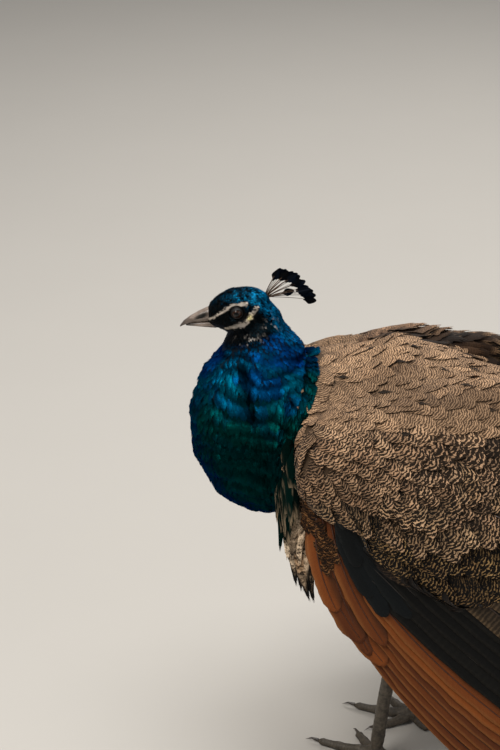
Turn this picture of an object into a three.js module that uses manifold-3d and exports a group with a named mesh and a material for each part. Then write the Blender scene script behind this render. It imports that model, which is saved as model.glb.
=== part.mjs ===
// A young male Indian peafowl, standing at rest with its neck drawn in and its wings let down.
// Millimetres, +Z up. The bill points along -X and the bird's left side faces -Y. The origin is on the
// floor, under the middle of the bird's bounding box.
import * as THREE from "three";
import { mergeVertices } from "three/addons/utils/BufferGeometryUtils.js";
import Module from "manifold-3d";

const wasm = await Module();
wasm.setup();

// Driving dimensions. Places are measured from the point on the floor between the feet.
const GAP = 0.3; // clearance left between neighbouring pieces
const CROWN_Z = 550;
const BACK_Z = 482;
const BELLY_Z = 214;
const BREAST_FRONT_X = -212;
const RUMP_END_X = 232;
const BODY_HALF_WIDTH = 113;
const EYE = { x: -159, y: 12.2, z: 527, radius: 6.2 };
const BILL_BASE_X = -188;
const BILL_TIP = { x: -217, z: 506 };
const CREST_ROOT = { x: -129, z: 540 };
const CREST_THICKNESS = 2.4;
const ANKLE_Z = 146;
const SHANK_RADIUS = 6.4;
const TOE_RADIUS = 5;
const PAD_SINK = 0.78; // a toe's height over the floor as a share of its radius, so its pads lie flat
const VANE_THICKNESS = 1.6;
const LAYER_PITCH = 0.8; // from one flight feather to the next one above it
const FEET = {
  left: { x: -7, y: -41, turn: -25, ankle: { x: 6, y: -46 } },
  right: { x: 38, y: 30, turn: 22, ankle: { x: 45, y: 43 } },
};
const SIDES = { left: -1, right: 1 };

const COLOURS = {
  blue: 0x0d4f86,
  barred: 0x8c7259,
  chestnut: 0x9a5428,
  black: 0x1d2426,
  buff: 0xb79f82,
  brown: 0x5c4a38,
  horn: 0x8b8076,
  scale: 0x6f675b,
  eye: 0x1a0d08,
  claw: 0x3b342e,
};
const finish = (colour, roughness) =>
  new THREE.MeshStandardMaterial({ color: colour, roughness, metalness: 0 });
const MATERIALS = {
  blue_feather: finish(COLOURS.blue, 0.5),
  barred_feather: finish(COLOURS.barred, 0.85),
  chestnut_feather: finish(COLOURS.chestnut, 0.7),
  black_feather: finish(COLOURS.black, 0.6),
  buff_feather: finish(COLOURS.buff, 0.9),
  brown_feather: finish(COLOURS.brown, 0.85),
  bill_horn: finish(COLOURS.horn, 0.4),
  leg_scale: finish(COLOURS.scale, 0.55),
  eye_gloss: finish(COLOURS.eye, 0.05),
  claw_horn: finish(COLOURS.claw, 0.4),
};

// ---------------------------------------------------------------- shape makers

// A closed manifold solid from a three.js geometry, turned face out.
function solid(geometry) {
  geometry.deleteAttribute("normal");
  geometry.deleteAttribute("uv");
  const merged = mergeVertices(geometry, 1e-3);
  const index = new Uint32Array(merged.index.array);
  const build = () =>
    new wasm.Manifold(
      new wasm.Mesh({
        numProp: 3,
        vertProperties: new Float32Array(merged.attributes.position.array),
        triVerts: index,
      }),
    );
  const made = build();
  if (made.volume() > 0) return made;
  for (let i = 0; i < index.length; i += 3) {
    [index[i + 1], index[i + 2]] = [index[i + 2], index[i + 1]];
  }
  return build();
}

// Moves every vertex of a geometry by a rule.
function warp(geometry, rule) {
  const position = geometry.attributes.position;
  const point = new THREE.Vector3();
  for (let i = 0; i < position.count; i++) {
    rule(point.fromBufferAttribute(position, i));
    position.setXYZ(i, point.x, point.y, point.z);
  }
  return geometry;
}

// A smooth run of vectors through the given ones.
const smooth = (rows) =>
  new THREE.CatmullRomCurve3(rows.map((r) => new THREE.Vector3(...r)), false, "catmullrom", 0.5);

// A rounded body through stations [x, y, z, across, up, down, tilt]. "Up" is at right angles to the run
// of the centres, within the XZ plane: upwards on a body that runs along +X, and backwards (+X) on one
// that runs downwards. The section is turned by tilt degrees. Both ends close over a share, cap.
function loft(stations, { sides = 20, rings = 12, cap = 0.12, grow = 0 } = {}) {
  const centres = smooth(stations.map((s) => s.slice(0, 3)));
  const halves = smooth(stations.map((s) => s.slice(3, 6)));
  const tilts = smooth(stations.map((s) => [s[6] ?? 0, 0, 0]));
  const roundEnd = (t) => Math.sqrt(Math.max(0, 1 - (1 - Math.min(1, t / cap)) ** 2));
  return warp(new THREE.SphereGeometry(1, sides, rings), (p) => {
    const angle = Math.atan2(p.z, p.x);
    const t = Math.min(1, Math.max(0, (1 - p.y) / 2));
    const round = roundEnd(t) * roundEnd(1 - t);
    const centre = centres.getPoint(t);
    const half = halves.getPoint(t);
    const along = centres.getTangent(t).setY(0).normalize();
    const turn = THREE.MathUtils.degToRad(tilts.getPoint(t).x);
    const up = new THREE.Vector3(-along.z, 0, along.x).applyAxisAngle(along, turn);
    const side = new THREE.Vector3(0, 1, 0).applyAxisAngle(along, turn);
    const high = Math.sin(angle) > 0 ? half.y : half.z;
    const ends = Math.sign(t - 0.5) * (1 - round) * grow;
    p.copy(centre)
      .addScaledVector(side, (half.x + grow) * round * Math.cos(angle))
      .addScaledVector(up, (high + grow) * round * Math.sin(angle))
      .addScaledVector(along, ends);
  });
}

// How wide a vane is along its length, as a share of its greatest half width.
function vaneShare(u) {
  const swell = 0.45 + 0.55 * THREE.MathUtils.smoothstep(u, 0, 0.35);
  const tip = Math.max(0, (u - 0.78) / 0.22);
  return swell * Math.max(0.2, Math.sqrt(1 - tip * tip));
}

// One long feather, drawn flat along a bent line and then laid on a surface. The flat drawing's place
// (a, b) goes to surface(a, b, height), where height counts outwards from the innermost layer. Folds is
// the number of flat strips across the vane.
function feather({ root, bend, tip, halfWidth, layer, folds = 1 }, surface, grow = 0) {
  const line = new THREE.QuadraticBezierCurve(
    new THREE.Vector2(...root),
    new THREE.Vector2(...bend),
    new THREE.Vector2(...tip),
  );
  return warp(new THREE.BoxGeometry(1, 1, 1, 4, folds, 1), (p) => {
    const u = 1 - (0.5 - p.x) ** 1.5;
    const place = line.getPoint(u);
    const along = line.getTangent(u);
    const half = (halfWidth * vaneShare(u) + grow) * p.y * 2;
    place.addScaledVector(along, 2 * p.x * grow);
    const height = layer * LAYER_PITCH + 2 * p.z * (VANE_THICKNESS / 2 + grow);
    p.copy(surface(place.x - along.y * half, place.y + along.x * half, height));
  });
}

const vector = (x, y, z) => new THREE.Vector3(x, y, z);
const joined = (solids) => wasm.Manifold.union(solids);
const largest = (made) => made.decompose().sort((a, b) => b.volume() - a.volume())[0];

// Splits a solid by a plane through a point, leaving the clearance between the halves.
function split(made, point, normal) {
  const n = normal.clone().normalize();
  const offset = n.dot(point);
  const beyond = made.trimByPlane(n.toArray(), offset + GAP / 2);
  const before = made.trimByPlane(n.clone().negate().toArray(), -offset + GAP / 2);
  return [before, beyond];
}

// ---------------------------------------------------------------- flesh and body plumage

const trunkStations = [
  [-150, 0, 372, 45, 58, 40],
  [-105, 0, 372, 88, 104, 84],
  [-55, 0, 364, 106, BACK_Z - 3 - 364, 364 - (BELLY_Z + 18)],
  [0, 0, 356, BODY_HALF_WIDTH, BACK_Z + 10 - 356, 356 - (BELLY_Z + 2)],
  [55, 0, 360, 109, BACK_Z - 360, 360 - (BELLY_Z + 6)],
  [110, 0, 370, 92, BACK_Z - 18 - 370, 370 - (BELLY_Z + 42)],
  [165, 0, 382, 68, 54, 74],
  [RUMP_END_X, 0, 386, 34, 20, 30],
];
const neckStations = [
  [-141, 0, 524, 17, 20, 18],
  [-137, 0, 500, 29, 37, 31],
  [-137, 0, 468, 43, 50, 50],
  [-142, 0, 432, 55, 62, 64],
  [-143, 0, 395, 66, 62, -143 - BREAST_FRONT_X],
  [-136, 0, 360, 69, 50, 64],
  [-118, 0, 331, 60, 34, 45],
  [-102, 0, 309, 40, 20, 24],
];
const headStations = [
  [BILL_BASE_X - 3, 0, 517, 8.5, 9, 8],
  [-181, 0, 518, 12.5, 19, 12],
  [-166, 0, 519, 16.5, 29, 18],
  [-149, 0, 519, 18.5, CROWN_Z - 519, 24],
  [-133, 0, 516, 18.5, 29, 26],
  [-119, 0, 507, 16, 20, 24],
  [-109, 0, 500, 10, 10, 14],
];
// The feathered leg: shares of the way from the hip down to the ankle, with the half sizes there.
const HIP = { x: -6, y: 57, z: 266 };
const thighStations = (side, { ankle }) =>
  [
    [0, 40, 50, 52],
    [0.28, 37, 48, 46],
    [0.6, 26, 31, 30],
    [0.86, 15, 17, 17],
    [1, 10, 11, 11],
  ].map(([share, across, up, down]) => [
    THREE.MathUtils.lerp(HIP.x, ankle.x, share ** 1.2),
    side * THREE.MathUtils.lerp(HIP.y, Math.abs(ankle.y), share ** 1.5),
    THREE.MathUtils.lerp(HIP.z, ANKLE_Z + 3, share),
    across,
    up,
    down,
  ]);

const bodySolids = (grow = 0) =>
  joined([
    solid(loft(trunkStations, { sides: 20, rings: 13, grow })),
    solid(loft(neckStations, { sides: 18, rings: 12, cap: 0.1, grow })),
    solid(loft(headStations, { sides: 14, rings: 10, cap: 0.14, grow })),
  ]);

// The long flank feathers that lie over the front of each wing's hand.
const flankStations = (side) => [
  [-99, side * 84, 372, 5, 8, 8],
  [-97, side * 91, 335, 8, 14, 14],
  [-96, side * 95, 298, 8, 14, 13],
  [-88, side * 98, 264, 6, 9, 9],
  [-80, side * 100, 240, 2, 2.5, 2.5],
];
const flankFeathers = (side, grow = 0) =>
  solid(loft(flankStations(side), { sides: 8, rings: 7, grow }));

const eyeball = (side, grow = 0) =>
  solid(
    new THREE.SphereGeometry(EYE.radius + grow, 8, 6).translate(EYE.x, side * EYE.y, EYE.z),
  );

// ---------------------------------------------------------------- bill and crest

const upperBillStations = [
  [BILL_BASE_X + 8, 0, 519, 7, 7.5, 6],
  [BILL_BASE_X, 0, 519.5, 7.2, 8.2, 7],
  [BILL_BASE_X - 9, 0, 517, 5.8, 6.4, 5.8],
  [BILL_BASE_X - 18, 0, 513.5, 4.2, 4.4, 3.4],
  [BILL_BASE_X - 25, 0, 509.6, 2.6, 2.8, 1.8],
  [BILL_TIP.x, 0, BILL_TIP.z, 1, 1, 0.8],
];
const lowerBillStations = [
  [BILL_BASE_X + 6, 0, 509, 6, 3, 4],
  [BILL_BASE_X - 4, 0, 509, 5.4, 2.6, 3.2],
  [BILL_BASE_X - 14, 0, 508.6, 3.8, 2.2, 1.8],
  [BILL_BASE_X - 23, 0, 508, 1.8, 1.2, 0.8],
];

// The crest's fan of feathers as one thin fan-shaped plate, its tips on a stepped arc.
function crestFan() {
  const tips = { count: 7, from: 67, to: -6, shortest: 33, longest: 51 };
  const outline = new THREE.Shape().moveTo(-3, -2);
  const spread = tips.to - tips.from;
  for (let i = 0; i < tips.count; i++) {
    const share = i / (tips.count - 1);
    const reach = THREE.MathUtils.lerp(tips.shortest, tips.longest, share);
    const half = spread / (tips.count * 2.6);
    for (const [turn, length] of [[-half, reach * 0.93], [0, reach], [half, reach * 0.93]]) {
      const angle = THREE.MathUtils.degToRad(tips.from + spread * share + turn);
      outline.lineTo(length * Math.cos(angle), length * Math.sin(angle));
    }
  }
  outline.lineTo(2, -6);
  return new THREE.ExtrudeGeometry(outline, { depth: CREST_THICKNESS, bevelEnabled: false })
    .translate(0, 0, -CREST_THICKNESS / 2)
    .rotateX(Math.PI / 2)
    .translate(CREST_ROOT.x, 0, CREST_ROOT.z);
}

// ---------------------------------------------------------------- wings

const wingStations = (side) => [
  [-104, side * 94, 414, 10, 20, 24, side * 24],
  [-86, side * 95, 412, 27, 40, 56, side * 25],
  [-35, side * 90, 402, 40, 62, 66, side * 24],
  [8, side * 88, 388, 43, 98, 94, side * 23],
  [50, side * 90, 372, 41, 121, 124, side * 22],
  [110, side * 96, 358, 33, 118, 116, side * 21],
  [165, side * 99, 336, 22, 98, 92, side * 18],
  [222, side * 98, 306, 12, 62, 60, side * 15],
  [262, side * 95, 286, 6, 30, 30, side * 12],
];
const wingCoverts = (side, grow = 0) =>
  solid(loft(wingStations(side), { sides: 14, rings: 11, cap: 0.1, grow }));

// The surface a let-down wing's feathers lie on: it flares outwards towards the floor, and turns in
// towards the wrist and towards the tips behind.
const wingSurface = (side) => (x, z, height) => {
  const below = Math.max(0, 345 - z);
  const behind = Math.max(0, x - 90);
  const beforeWrist = Math.max(0, -55 - x);
  const out = 114 + 0.12 * below + 0.0003 * below ** 2 - 0.0007 * behind ** 2 - 0.008 * beforeWrist ** 2;
  return vector(x, side * (out + height), z);
};

// A fan of feathers: each root, bend and tip lies part of the way between the first's and the last's,
// and each feather lies a layer further out than the one before it.
function fan({ count, first, last, halfWidth, layer }, surface, grow = 0) {
  const mix = THREE.MathUtils.lerp;
  const plates = [];
  for (let i = 0; i < count; i++) {
    const share = i / (count - 1);
    const place = (key) => first[key].map((value, axis) => mix(value, last[key][axis], share));
    const sizes = {
      root: place("root"),
      bend: place("bend"),
      tip: place("tip"),
      halfWidth: mix(halfWidth[0], halfWidth[1], share),
      layer: layer + i,
    };
    plates.push(solid(feather(sizes, surface, grow)));
  }
  return joined(plates);
}

// The outer flight feathers grow on the hand, the next ones on the forearm and the last by the elbow.
// Each place is [x, z] on the wing's surface.
const WING_FANS = {
  tertials: {
    count: 3,
    first: { root: [14, 335], bend: [124, 226], tip: [222, 158] },
    last: { root: [96, 360], bend: [186, 316], tip: [284, 262] },
    halfWidth: [25, 30],
    layer: 15,
  },
  hand_coverts: {
    count: 2,
    first: { root: [-81, 350], bend: [-74, 284], tip: [-30, 222] },
    last: { root: [-62, 350], bend: [-44, 278], tip: [-8, 206] },
    halfWidth: [15, 13],
    layer: 7,
  },
  secondaries: {
    count: 5,
    first: { root: [-60, 326], bend: [52, 198], tip: [186, 104] },
    last: { root: [52, 316], bend: [138, 250], tip: [238, 178] },
    halfWidth: [18, 22],
    layer: 9,
  },
  primaries: {
    count: 6,
    first: { root: [-70, 312], bend: [-34, 170], tip: [138, 44] },
    last: { root: [-62, 330], bend: [20, 192], tip: [176, 92] },
    halfWidth: [11, 18],
    layer: 0,
  },
};
const wingFan = (kind, side, grow = 0) => fan(WING_FANS[kind], wingSurface(side), grow);

// ---------------------------------------------------------------- tail

// A closed tail's feathers lie on a surface that slopes down behind and falls away to both sides like a
// roof. Each place is [distance along the tail, distance to the side].
const tailSurface = ({ x, z, drop, roof, bow, length }) => (a, b, height) => {
  const share = a / length;
  const fall = a * Math.tan(THREE.MathUtils.degToRad(drop)) - bow * 4 * share * (1 - share);
  return vector(x + a, b, z - fall - roof * b * b + height);
};

// The feathers of each pair lie a layer under the pair before, with the middle feather on top.
function tailFan(sizes, grow = 0) {
  const { pairs, length, spread, halfWidth, rootHalfWidth, shorter, folds = 2 } = sizes;
  const plates = [];
  for (let i = -pairs; i <= pairs; i++) {
    const share = i / pairs;
    const reach = length * (1 - shorter * share * share);
    const side = rootHalfWidth * share;
    const tipSide = side + spread * share;
    const placed = {
      root: [0, side],
      bend: [reach / 2, (side + tipSide) / 2],
      tip: [reach, tipSide],
      halfWidth,
      layer: -2 * Math.abs(i) - (i < 0 ? 1 : 0),
      folds,
    };
    plates.push(solid(feather(placed, tailSurface(sizes), grow)));
  }
  return joined(plates);
}
const TAIL = {
  x: RUMP_END_X - 24,
  z: 379,
  length: 378,
  drop: 17,
  bow: 10,
  roof: 0.006,
  pairs: 2,
  spread: 26,
  rootHalfWidth: 14,
  halfWidth: 25,
  shorter: 0.1,
};
const TAIL_COVERTS = {
  x: RUMP_END_X - 30,
  z: 396,
  length: 280,
  drop: 17.5,
  bow: 16,
  roof: 0.006,
  pairs: 1,
  spread: 22,
  rootHalfWidth: 18,
  halfWidth: 26,
  shorter: 0.2,
};
const UNDERTAIL = {
  x: RUMP_END_X - 34,
  z: 364,
  length: 150,
  drop: 17,
  bow: -6,
  roof: -0.004,
  pairs: 1,
  spread: 14,
  rootHalfWidth: 14,
  halfWidth: 22,
  shorter: 0.15,
  folds: 1,
};

// ---------------------------------------------------------------- legs and feet

// Toes by name: heading in degrees from straight ahead (outwards is positive), length and claw length.
const TOES = {
  inner: { heading: -42, length: 49, claw: 14 },
  middle: { heading: 0, length: 72, claw: 16 },
  outer: { heading: 36, length: 54, claw: 14 },
  hind: { heading: -150, length: 26, claw: 11 },
};
const ahead = (side, foot, heading) => {
  const turn = THREE.MathUtils.degToRad(heading + foot.turn);
  return vector(-Math.cos(turn), side * Math.sin(turn), 0);
};

function toe(side, foot, { heading, length }) {
  const run = ahead(side, foot, heading);
  const station = (share, radius, z = radius * PAD_SINK) => {
    const p = vector(foot.x, foot.y, z).addScaledVector(run, length * share);
    return [p.x, p.y, p.z, radius, radius, radius];
  };
  const line = [
    station(-0.05, TOE_RADIUS + 0.6, 13),
    station(0.14, TOE_RADIUS + 0.4, 9),
    station(0.36, TOE_RADIUS),
    station(0.7, TOE_RADIUS - 0.5),
    station(1, TOE_RADIUS - 1.2),
  ];
  return tube(line, { sides: 6, rings: 5 });
}

// A round tube through stations, for toes whose run isn't in the XZ plane.
function tube(stations, { sides, rings, cap = 0.14 }) {
  const centres = smooth(stations.map((s) => s.slice(0, 3)));
  const radii = smooth(stations.map((s) => s.slice(3, 6)));
  const roundEnd = (t) => Math.sqrt(Math.max(0, 1 - (1 - Math.min(1, t / cap)) ** 2));
  return warp(new THREE.SphereGeometry(1, sides, rings), (p) => {
    const angle = Math.atan2(p.z, p.x);
    const t = Math.min(1, Math.max(0, (1 - p.y) / 2));
    const radius = radii.getPoint(t).x * roundEnd(t) * roundEnd(1 - t);
    const along = centres.getTangent(t);
    const reference = Math.abs(along.z) > 0.9 ? vector(1, 0, 0) : vector(0, 0, 1);
    const side = reference.cross(along).normalize();
    const up = along.clone().cross(side);
    p.copy(centres.getPoint(t))
      .addScaledVector(side, radius * Math.cos(angle))
      .addScaledVector(up, radius * Math.sin(angle));
  });
}

// A claw: a cone bent down over its length, its tip just clear of the floor.
function claw(side, foot, { heading, length, claw: reach }) {
  const run = ahead(side, foot, heading);
  const start = vector(foot.x, foot.y, 0).addScaledVector(run, length - 2.5);
  const thick = 2.6;
  return warp(new THREE.ConeGeometry(thick, reach, 6, 2), (p) => {
    const u = p.y / reach + 0.5;
    const high = 4.2 + 1.6 * Math.sin(Math.PI * u * 0.8) - 4.2 * u * u;
    const side2 = vector(-run.y, run.x, 0);
    const across = p.x * 0.75;
    const rise = p.z;
    p.copy(start)
      .addScaledVector(run, u * reach)
      .addScaledVector(side2, across);
    p.z = Math.max(0.4, high + rise);
  });
}

const shankStations = (foot) => {
  const at = (share, z, across, up, down) => [
    THREE.MathUtils.lerp(foot.x, foot.ankle.x, share),
    THREE.MathUtils.lerp(foot.y, foot.ankle.y, share),
    z,
    across,
    up,
    down,
  ];
  return [
    at(1.02, ANKLE_Z + 8, 8, 8.5, 8.5),
    at(1, ANKLE_Z - 4, 8.6, 9.6, 9),
    at(0.86, ANKLE_Z - 26, SHANK_RADIUS, 7, 7),
    at(0.4, 72, SHANK_RADIUS, 7, 7),
    at(0.08, 30, SHANK_RADIUS + 0.6, 7.2, 7.2),
    at(0, 17, SHANK_RADIUS + 1.4, 8, 8),
  ];
};

// ---------------------------------------------------------------- assembly

const group = new THREE.Group();

function add(name, made, material) {
  const { vertProperties, triVerts } = largest(made).getMesh();
  const geometry = new THREE.BufferGeometry();
  geometry.setAttribute("position", new THREE.BufferAttribute(vertProperties, 3));
  geometry.setIndex(new THREE.BufferAttribute(triVerts, 1));
  geometry.computeVertexNormals();
  const mesh = new THREE.Mesh(geometry, MATERIALS[material].clone());
  mesh.name = name;
  group.add(mesh);
}

function addBody(cutters) {
  const whole = cutters.reduce((made, cutter) => made.subtract(cutter), bodySolids());
  const [front, back] = split(whole, vector(-102, 0, 385), vector(1, 0, -0.16));
  const [lower, upper] = split(front, vector(-136, 0, 501), vector(-0.35, 0, 1));
  const [breast, neck] = split(lower, vector(0, 0, 384), vector(0, 0, 1));
  const [neckLower, neckUpper] = split(neck, vector(0, 0, 448), vector(0, 0, 1));
  const [trunk, rump] = split(back, vector(150, 0, 0), vector(1, 0, 0));
  add("head", upper, "blue_feather");
  add("neck_upper", neckUpper, "blue_feather");
  add("neck_lower", neckLower, "blue_feather");
  add("breast", breast, "blue_feather");
  add("trunk", trunk, "barred_feather");
  add("rump", rump, "brown_feather");
}

function addHead() {
  const body = bodySolids(GAP);
  const lower = solid(loft(lowerBillStations, { sides: 8, rings: 5, grow: GAP }));
  const upperBill = solid(loft(upperBillStations, { sides: 8, rings: 7 }));
  const lowerBill = solid(loft(lowerBillStations, { sides: 8, rings: 5 }));
  add("bill_upper", upperBill.subtract(body).subtract(lower), "bill_horn");
  add("bill_lower", lowerBill.subtract(body), "bill_horn");
  add("crest", solid(crestFan()).subtract(body), "blue_feather");
  for (const [name, side] of Object.entries(SIDES)) {
    add(`eye_${name}`, eyeball(side), "eye_gloss");
  }
}

function addWing(name, side) {
  const body = bodySolids(GAP);
  const flank = flankFeathers(side).subtract(body).subtract(wingCoverts(side, GAP));
  const coverts = wingCoverts(side).subtract(body);
  const [lesser, scapulars] = split(coverts, vector(0, 0, 436), vector(0.1, 0, 1));
  add(`flank_${name}`, flank, "buff_feather");
  add(`wing_${name}_scapulars`, scapulars, "barred_feather");
  add(`wing_${name}_coverts`, lesser, "barred_feather");
  const finishes = ["barred_feather", "chestnut_feather", "black_feather", "chestnut_feather"];
  const taken = [wingCoverts(side, GAP), flankFeathers(side, GAP), body];
  Object.keys(WING_FANS).forEach((kind, i) => {
    const made = taken.reduce((left, other) => left.subtract(other), wingFan(kind, side));
    add(`wing_${name}_${kind}`, made, finishes[i]);
    taken.push(wingFan(kind, side, GAP));
  });
}

function addTail() {
  const body = bodySolids(GAP);
  const above = tailFan(TAIL_COVERTS, GAP);
  const tail = tailFan(TAIL).subtract(body).subtract(above);
  add("tail_coverts", tailFan(TAIL_COVERTS).subtract(body), "brown_feather");
  add("tail_feathers", tail, "brown_feather");
  add("undertail_coverts", tailFan(UNDERTAIL).subtract(body).subtract(tailFan(TAIL, GAP)), "buff_feather");
}

function addLeg(name, side) {
  const foot = FEET[name];
  const shankRoom = solid(loft(shankStations(foot), { sides: 8, rings: 7, grow: GAP }));
  const shank = solid(loft(shankStations(foot), { sides: 8, rings: 7 }));
  const toes = Object.values(TOES).map((digit) => solid(toe(side, foot, digit)));
  const hub = solid(new THREE.SphereGeometry(8.4, 7, 5).translate(foot.x, foot.y, 12));
  const footSolid = joined([...toes, hub]).trimByPlane([0, 0, 1], 0);
  const thigh = solid(loft(thighStations(side, foot), { sides: 12, rings: 8, cap: 0.16 }));
  add(`foot_${name}`, footSolid.subtract(shankRoom), "leg_scale");
  add(`shank_${name}`, shank, "leg_scale");
  add(
    `thigh_${name}`,
    thigh.subtract(bodySolids(GAP)).subtract(wingCoverts(side, GAP)).subtract(shankRoom),
    "buff_feather",
  );
  for (const [digit, sizes] of Object.entries(TOES)) {
    const room = solid(toe(side, foot, sizes));
    add(`claw_${name}_${digit}`, solid(claw(side, foot, sizes)).subtract(room), "claw_horn");
  }
}

addBody(Object.values(SIDES).map((side) => eyeball(side, GAP)));
addHead();
for (const [name, side] of Object.entries(SIDES)) {
  addWing(name, side);
  addLeg(name, side);
}
addTail();

// Puts the origin on the floor, under the middle of the whole bird.
const box = new THREE.Box3().setFromObject(group);
const middle = box.getCenter(new THREE.Vector3());
group.position.set(-middle.x, -middle.y, -box.min.z);
export default group;
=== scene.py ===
"""A young peacock as a still, life-size museum model: skin, plumage, head, wings, tail and legs.

The body, wings and legs are one skin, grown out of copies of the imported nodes. The plumage is
solid mesh over it: thousands of small vanes laid along the body in joined pieces, and quills that
are modelled one by one for the wings and tail. Measures are millimetres from the bird's own
middle plane (x back along the tail, y to the bird's right, z up) until bird_to_row() places them.
"""

import math

import bmesh
import bpy
import numpy as np
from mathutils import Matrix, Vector
from mathutils.bvhtree import BVHTree


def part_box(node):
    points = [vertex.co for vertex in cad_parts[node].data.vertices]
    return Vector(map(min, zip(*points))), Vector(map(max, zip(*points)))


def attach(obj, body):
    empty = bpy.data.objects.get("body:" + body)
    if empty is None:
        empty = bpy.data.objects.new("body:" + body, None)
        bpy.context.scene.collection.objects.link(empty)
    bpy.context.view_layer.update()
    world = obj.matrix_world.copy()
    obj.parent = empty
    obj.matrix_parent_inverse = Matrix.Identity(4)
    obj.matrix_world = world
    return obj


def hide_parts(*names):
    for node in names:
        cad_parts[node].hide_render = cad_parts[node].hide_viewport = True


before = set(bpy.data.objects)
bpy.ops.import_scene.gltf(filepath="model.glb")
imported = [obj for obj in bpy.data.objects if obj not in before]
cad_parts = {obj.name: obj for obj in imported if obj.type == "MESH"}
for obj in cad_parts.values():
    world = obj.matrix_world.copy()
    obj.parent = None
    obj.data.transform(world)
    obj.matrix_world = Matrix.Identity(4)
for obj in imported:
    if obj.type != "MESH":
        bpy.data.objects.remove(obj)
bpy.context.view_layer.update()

EYE = np.array((-159.0, -12.2, 527.0))
EYE_RADIUS = 6.2
BILL_ROOT = np.array((-188.0, 0.0, 519.0))
CREST_ROOT = np.array((-129.0, 0.0, 540.0))
LEFT, RIGHT = -1, 1
GROWTH = np.random.default_rng(20)


def bird_origin():
    """Where the bird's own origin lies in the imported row, in mm."""
    low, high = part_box("eye_left")
    return np.array((low + high) / 2) * 1000 - EYE


ORIGIN = bird_origin()


def bird_to_row(points):
    return (np.asarray(points, float) + ORIGIN) / 1000


def unit(vectors):
    vectors = np.asarray(vectors, float)
    return vectors / np.maximum(np.linalg.norm(vectors, axis=-1, keepdims=True), 1e-9)


def smooth(low, high, value):
    share = np.clip((value - low) / (high - low), 0, 1)
    return share * share * (3 - 2 * share)


def mix(a, b, share):
    return a + (b - a) * share


def colour(code):
    """A linear colour from its six-figure hex code."""
    parts = np.array([int(code[i : i + 2], 16) / 255 for i in (0, 2, 4)])
    return np.where(parts <= 0.04045, parts / 12.92, ((parts + 0.055) / 1.055) ** 2.4)


def value_noise(points, size, seed=0):
    """Smooth noise from 0 to 1 over points in mm, with lumps of the given size."""
    grid = points / size + 31.7 * seed
    cell = np.floor(grid).astype(int)
    part = grid - cell
    part = part * part * (3 - 2 * part)
    total = 0
    for corner in np.ndindex(2, 2, 2):
        key = (cell + corner) @ np.array((374761393, 668265263, 1274126177))
        key = (key ^ (key >> 13)) * 1274126177 % 4294967296
        weight = np.prod(np.where(corner, part, 1 - part), axis=-1)
        total = total + weight * (key % 65536) / 65535
    return total


# ---------------------------------------------------------------------------------------------
# Meshes


def lone(obj):
    """Makes one object the only selected and active one."""
    for other in bpy.context.selected_objects:
        other.select_set(False)
    obj.select_set(True)
    bpy.context.view_layer.objects.active = obj
    return obj


def new_piece(name, points, faces, materials, material_index=None, smooth_faces=True):
    """A mesh object from points in bird millimetres."""
    mesh = bpy.data.meshes.new(name)
    points = bird_to_row(points)
    if isinstance(faces, np.ndarray):
        sizes = np.full(len(faces), faces.shape[1])
        corners = faces.ravel()
    else:
        sizes = np.array([len(face) for face in faces])
        corners = np.concatenate([np.asarray(face) for face in faces])
    mesh.vertices.add(len(points))
    mesh.vertices.foreach_set("co", points.astype(np.float32).ravel())
    mesh.loops.add(len(corners))
    mesh.loops.foreach_set("vertex_index", corners.astype(np.int32))
    mesh.polygons.add(len(sizes))
    starts = np.concatenate(([0], np.cumsum(sizes)[:-1]))
    mesh.polygons.foreach_set("loop_start", starts.astype(np.int32))
    if material_index is not None:
        mesh.polygons.foreach_set("material_index", np.asarray(material_index, np.int32))
    mesh.polygons.foreach_set("use_smooth", np.full(len(sizes), smooth_faces))
    mesh.update(calc_edges=True)
    mesh.validate()
    obj = bpy.data.objects.new(name, mesh)
    bpy.context.collection.objects.link(obj)
    for material in materials if isinstance(materials, (list, tuple)) else [materials]:
        mesh.materials.append(material)
    return obj


def set_attribute(obj, name, kind, values):
    """Stores one value for each point of the mesh: a colour or a vector."""
    layer = obj.data.attributes.new(name, kind, "POINT")
    field = "color" if kind == "FLOAT_COLOR" else "vector"
    layer.data.foreach_set(field, np.asarray(values, np.float32).ravel())


def set_uv(obj, name, per_point):
    layer = obj.data.uv_layers.new(name=name)
    corners = np.empty(len(obj.data.loops), np.int32)
    obj.data.loops.foreach_get("vertex_index", corners)
    layer.data.foreach_set("uv", np.asarray(per_point, np.float32)[corners].ravel())


def mesh_points(obj):
    points = np.empty(len(obj.data.vertices) * 3)
    obj.data.vertices.foreach_get("co", points)
    return points.reshape(-1, 3) * 1000 - ORIGIN


def mesh_normals(obj):
    normals = np.empty(len(obj.data.vertices) * 3)
    obj.data.vertices.foreach_get("normal", normals)
    return normals.reshape(-1, 3)


def place_points(obj, points):
    obj.data.vertices.foreach_set("co", bird_to_row(points).astype(np.float32).ravel())
    obj.data.update()


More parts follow.
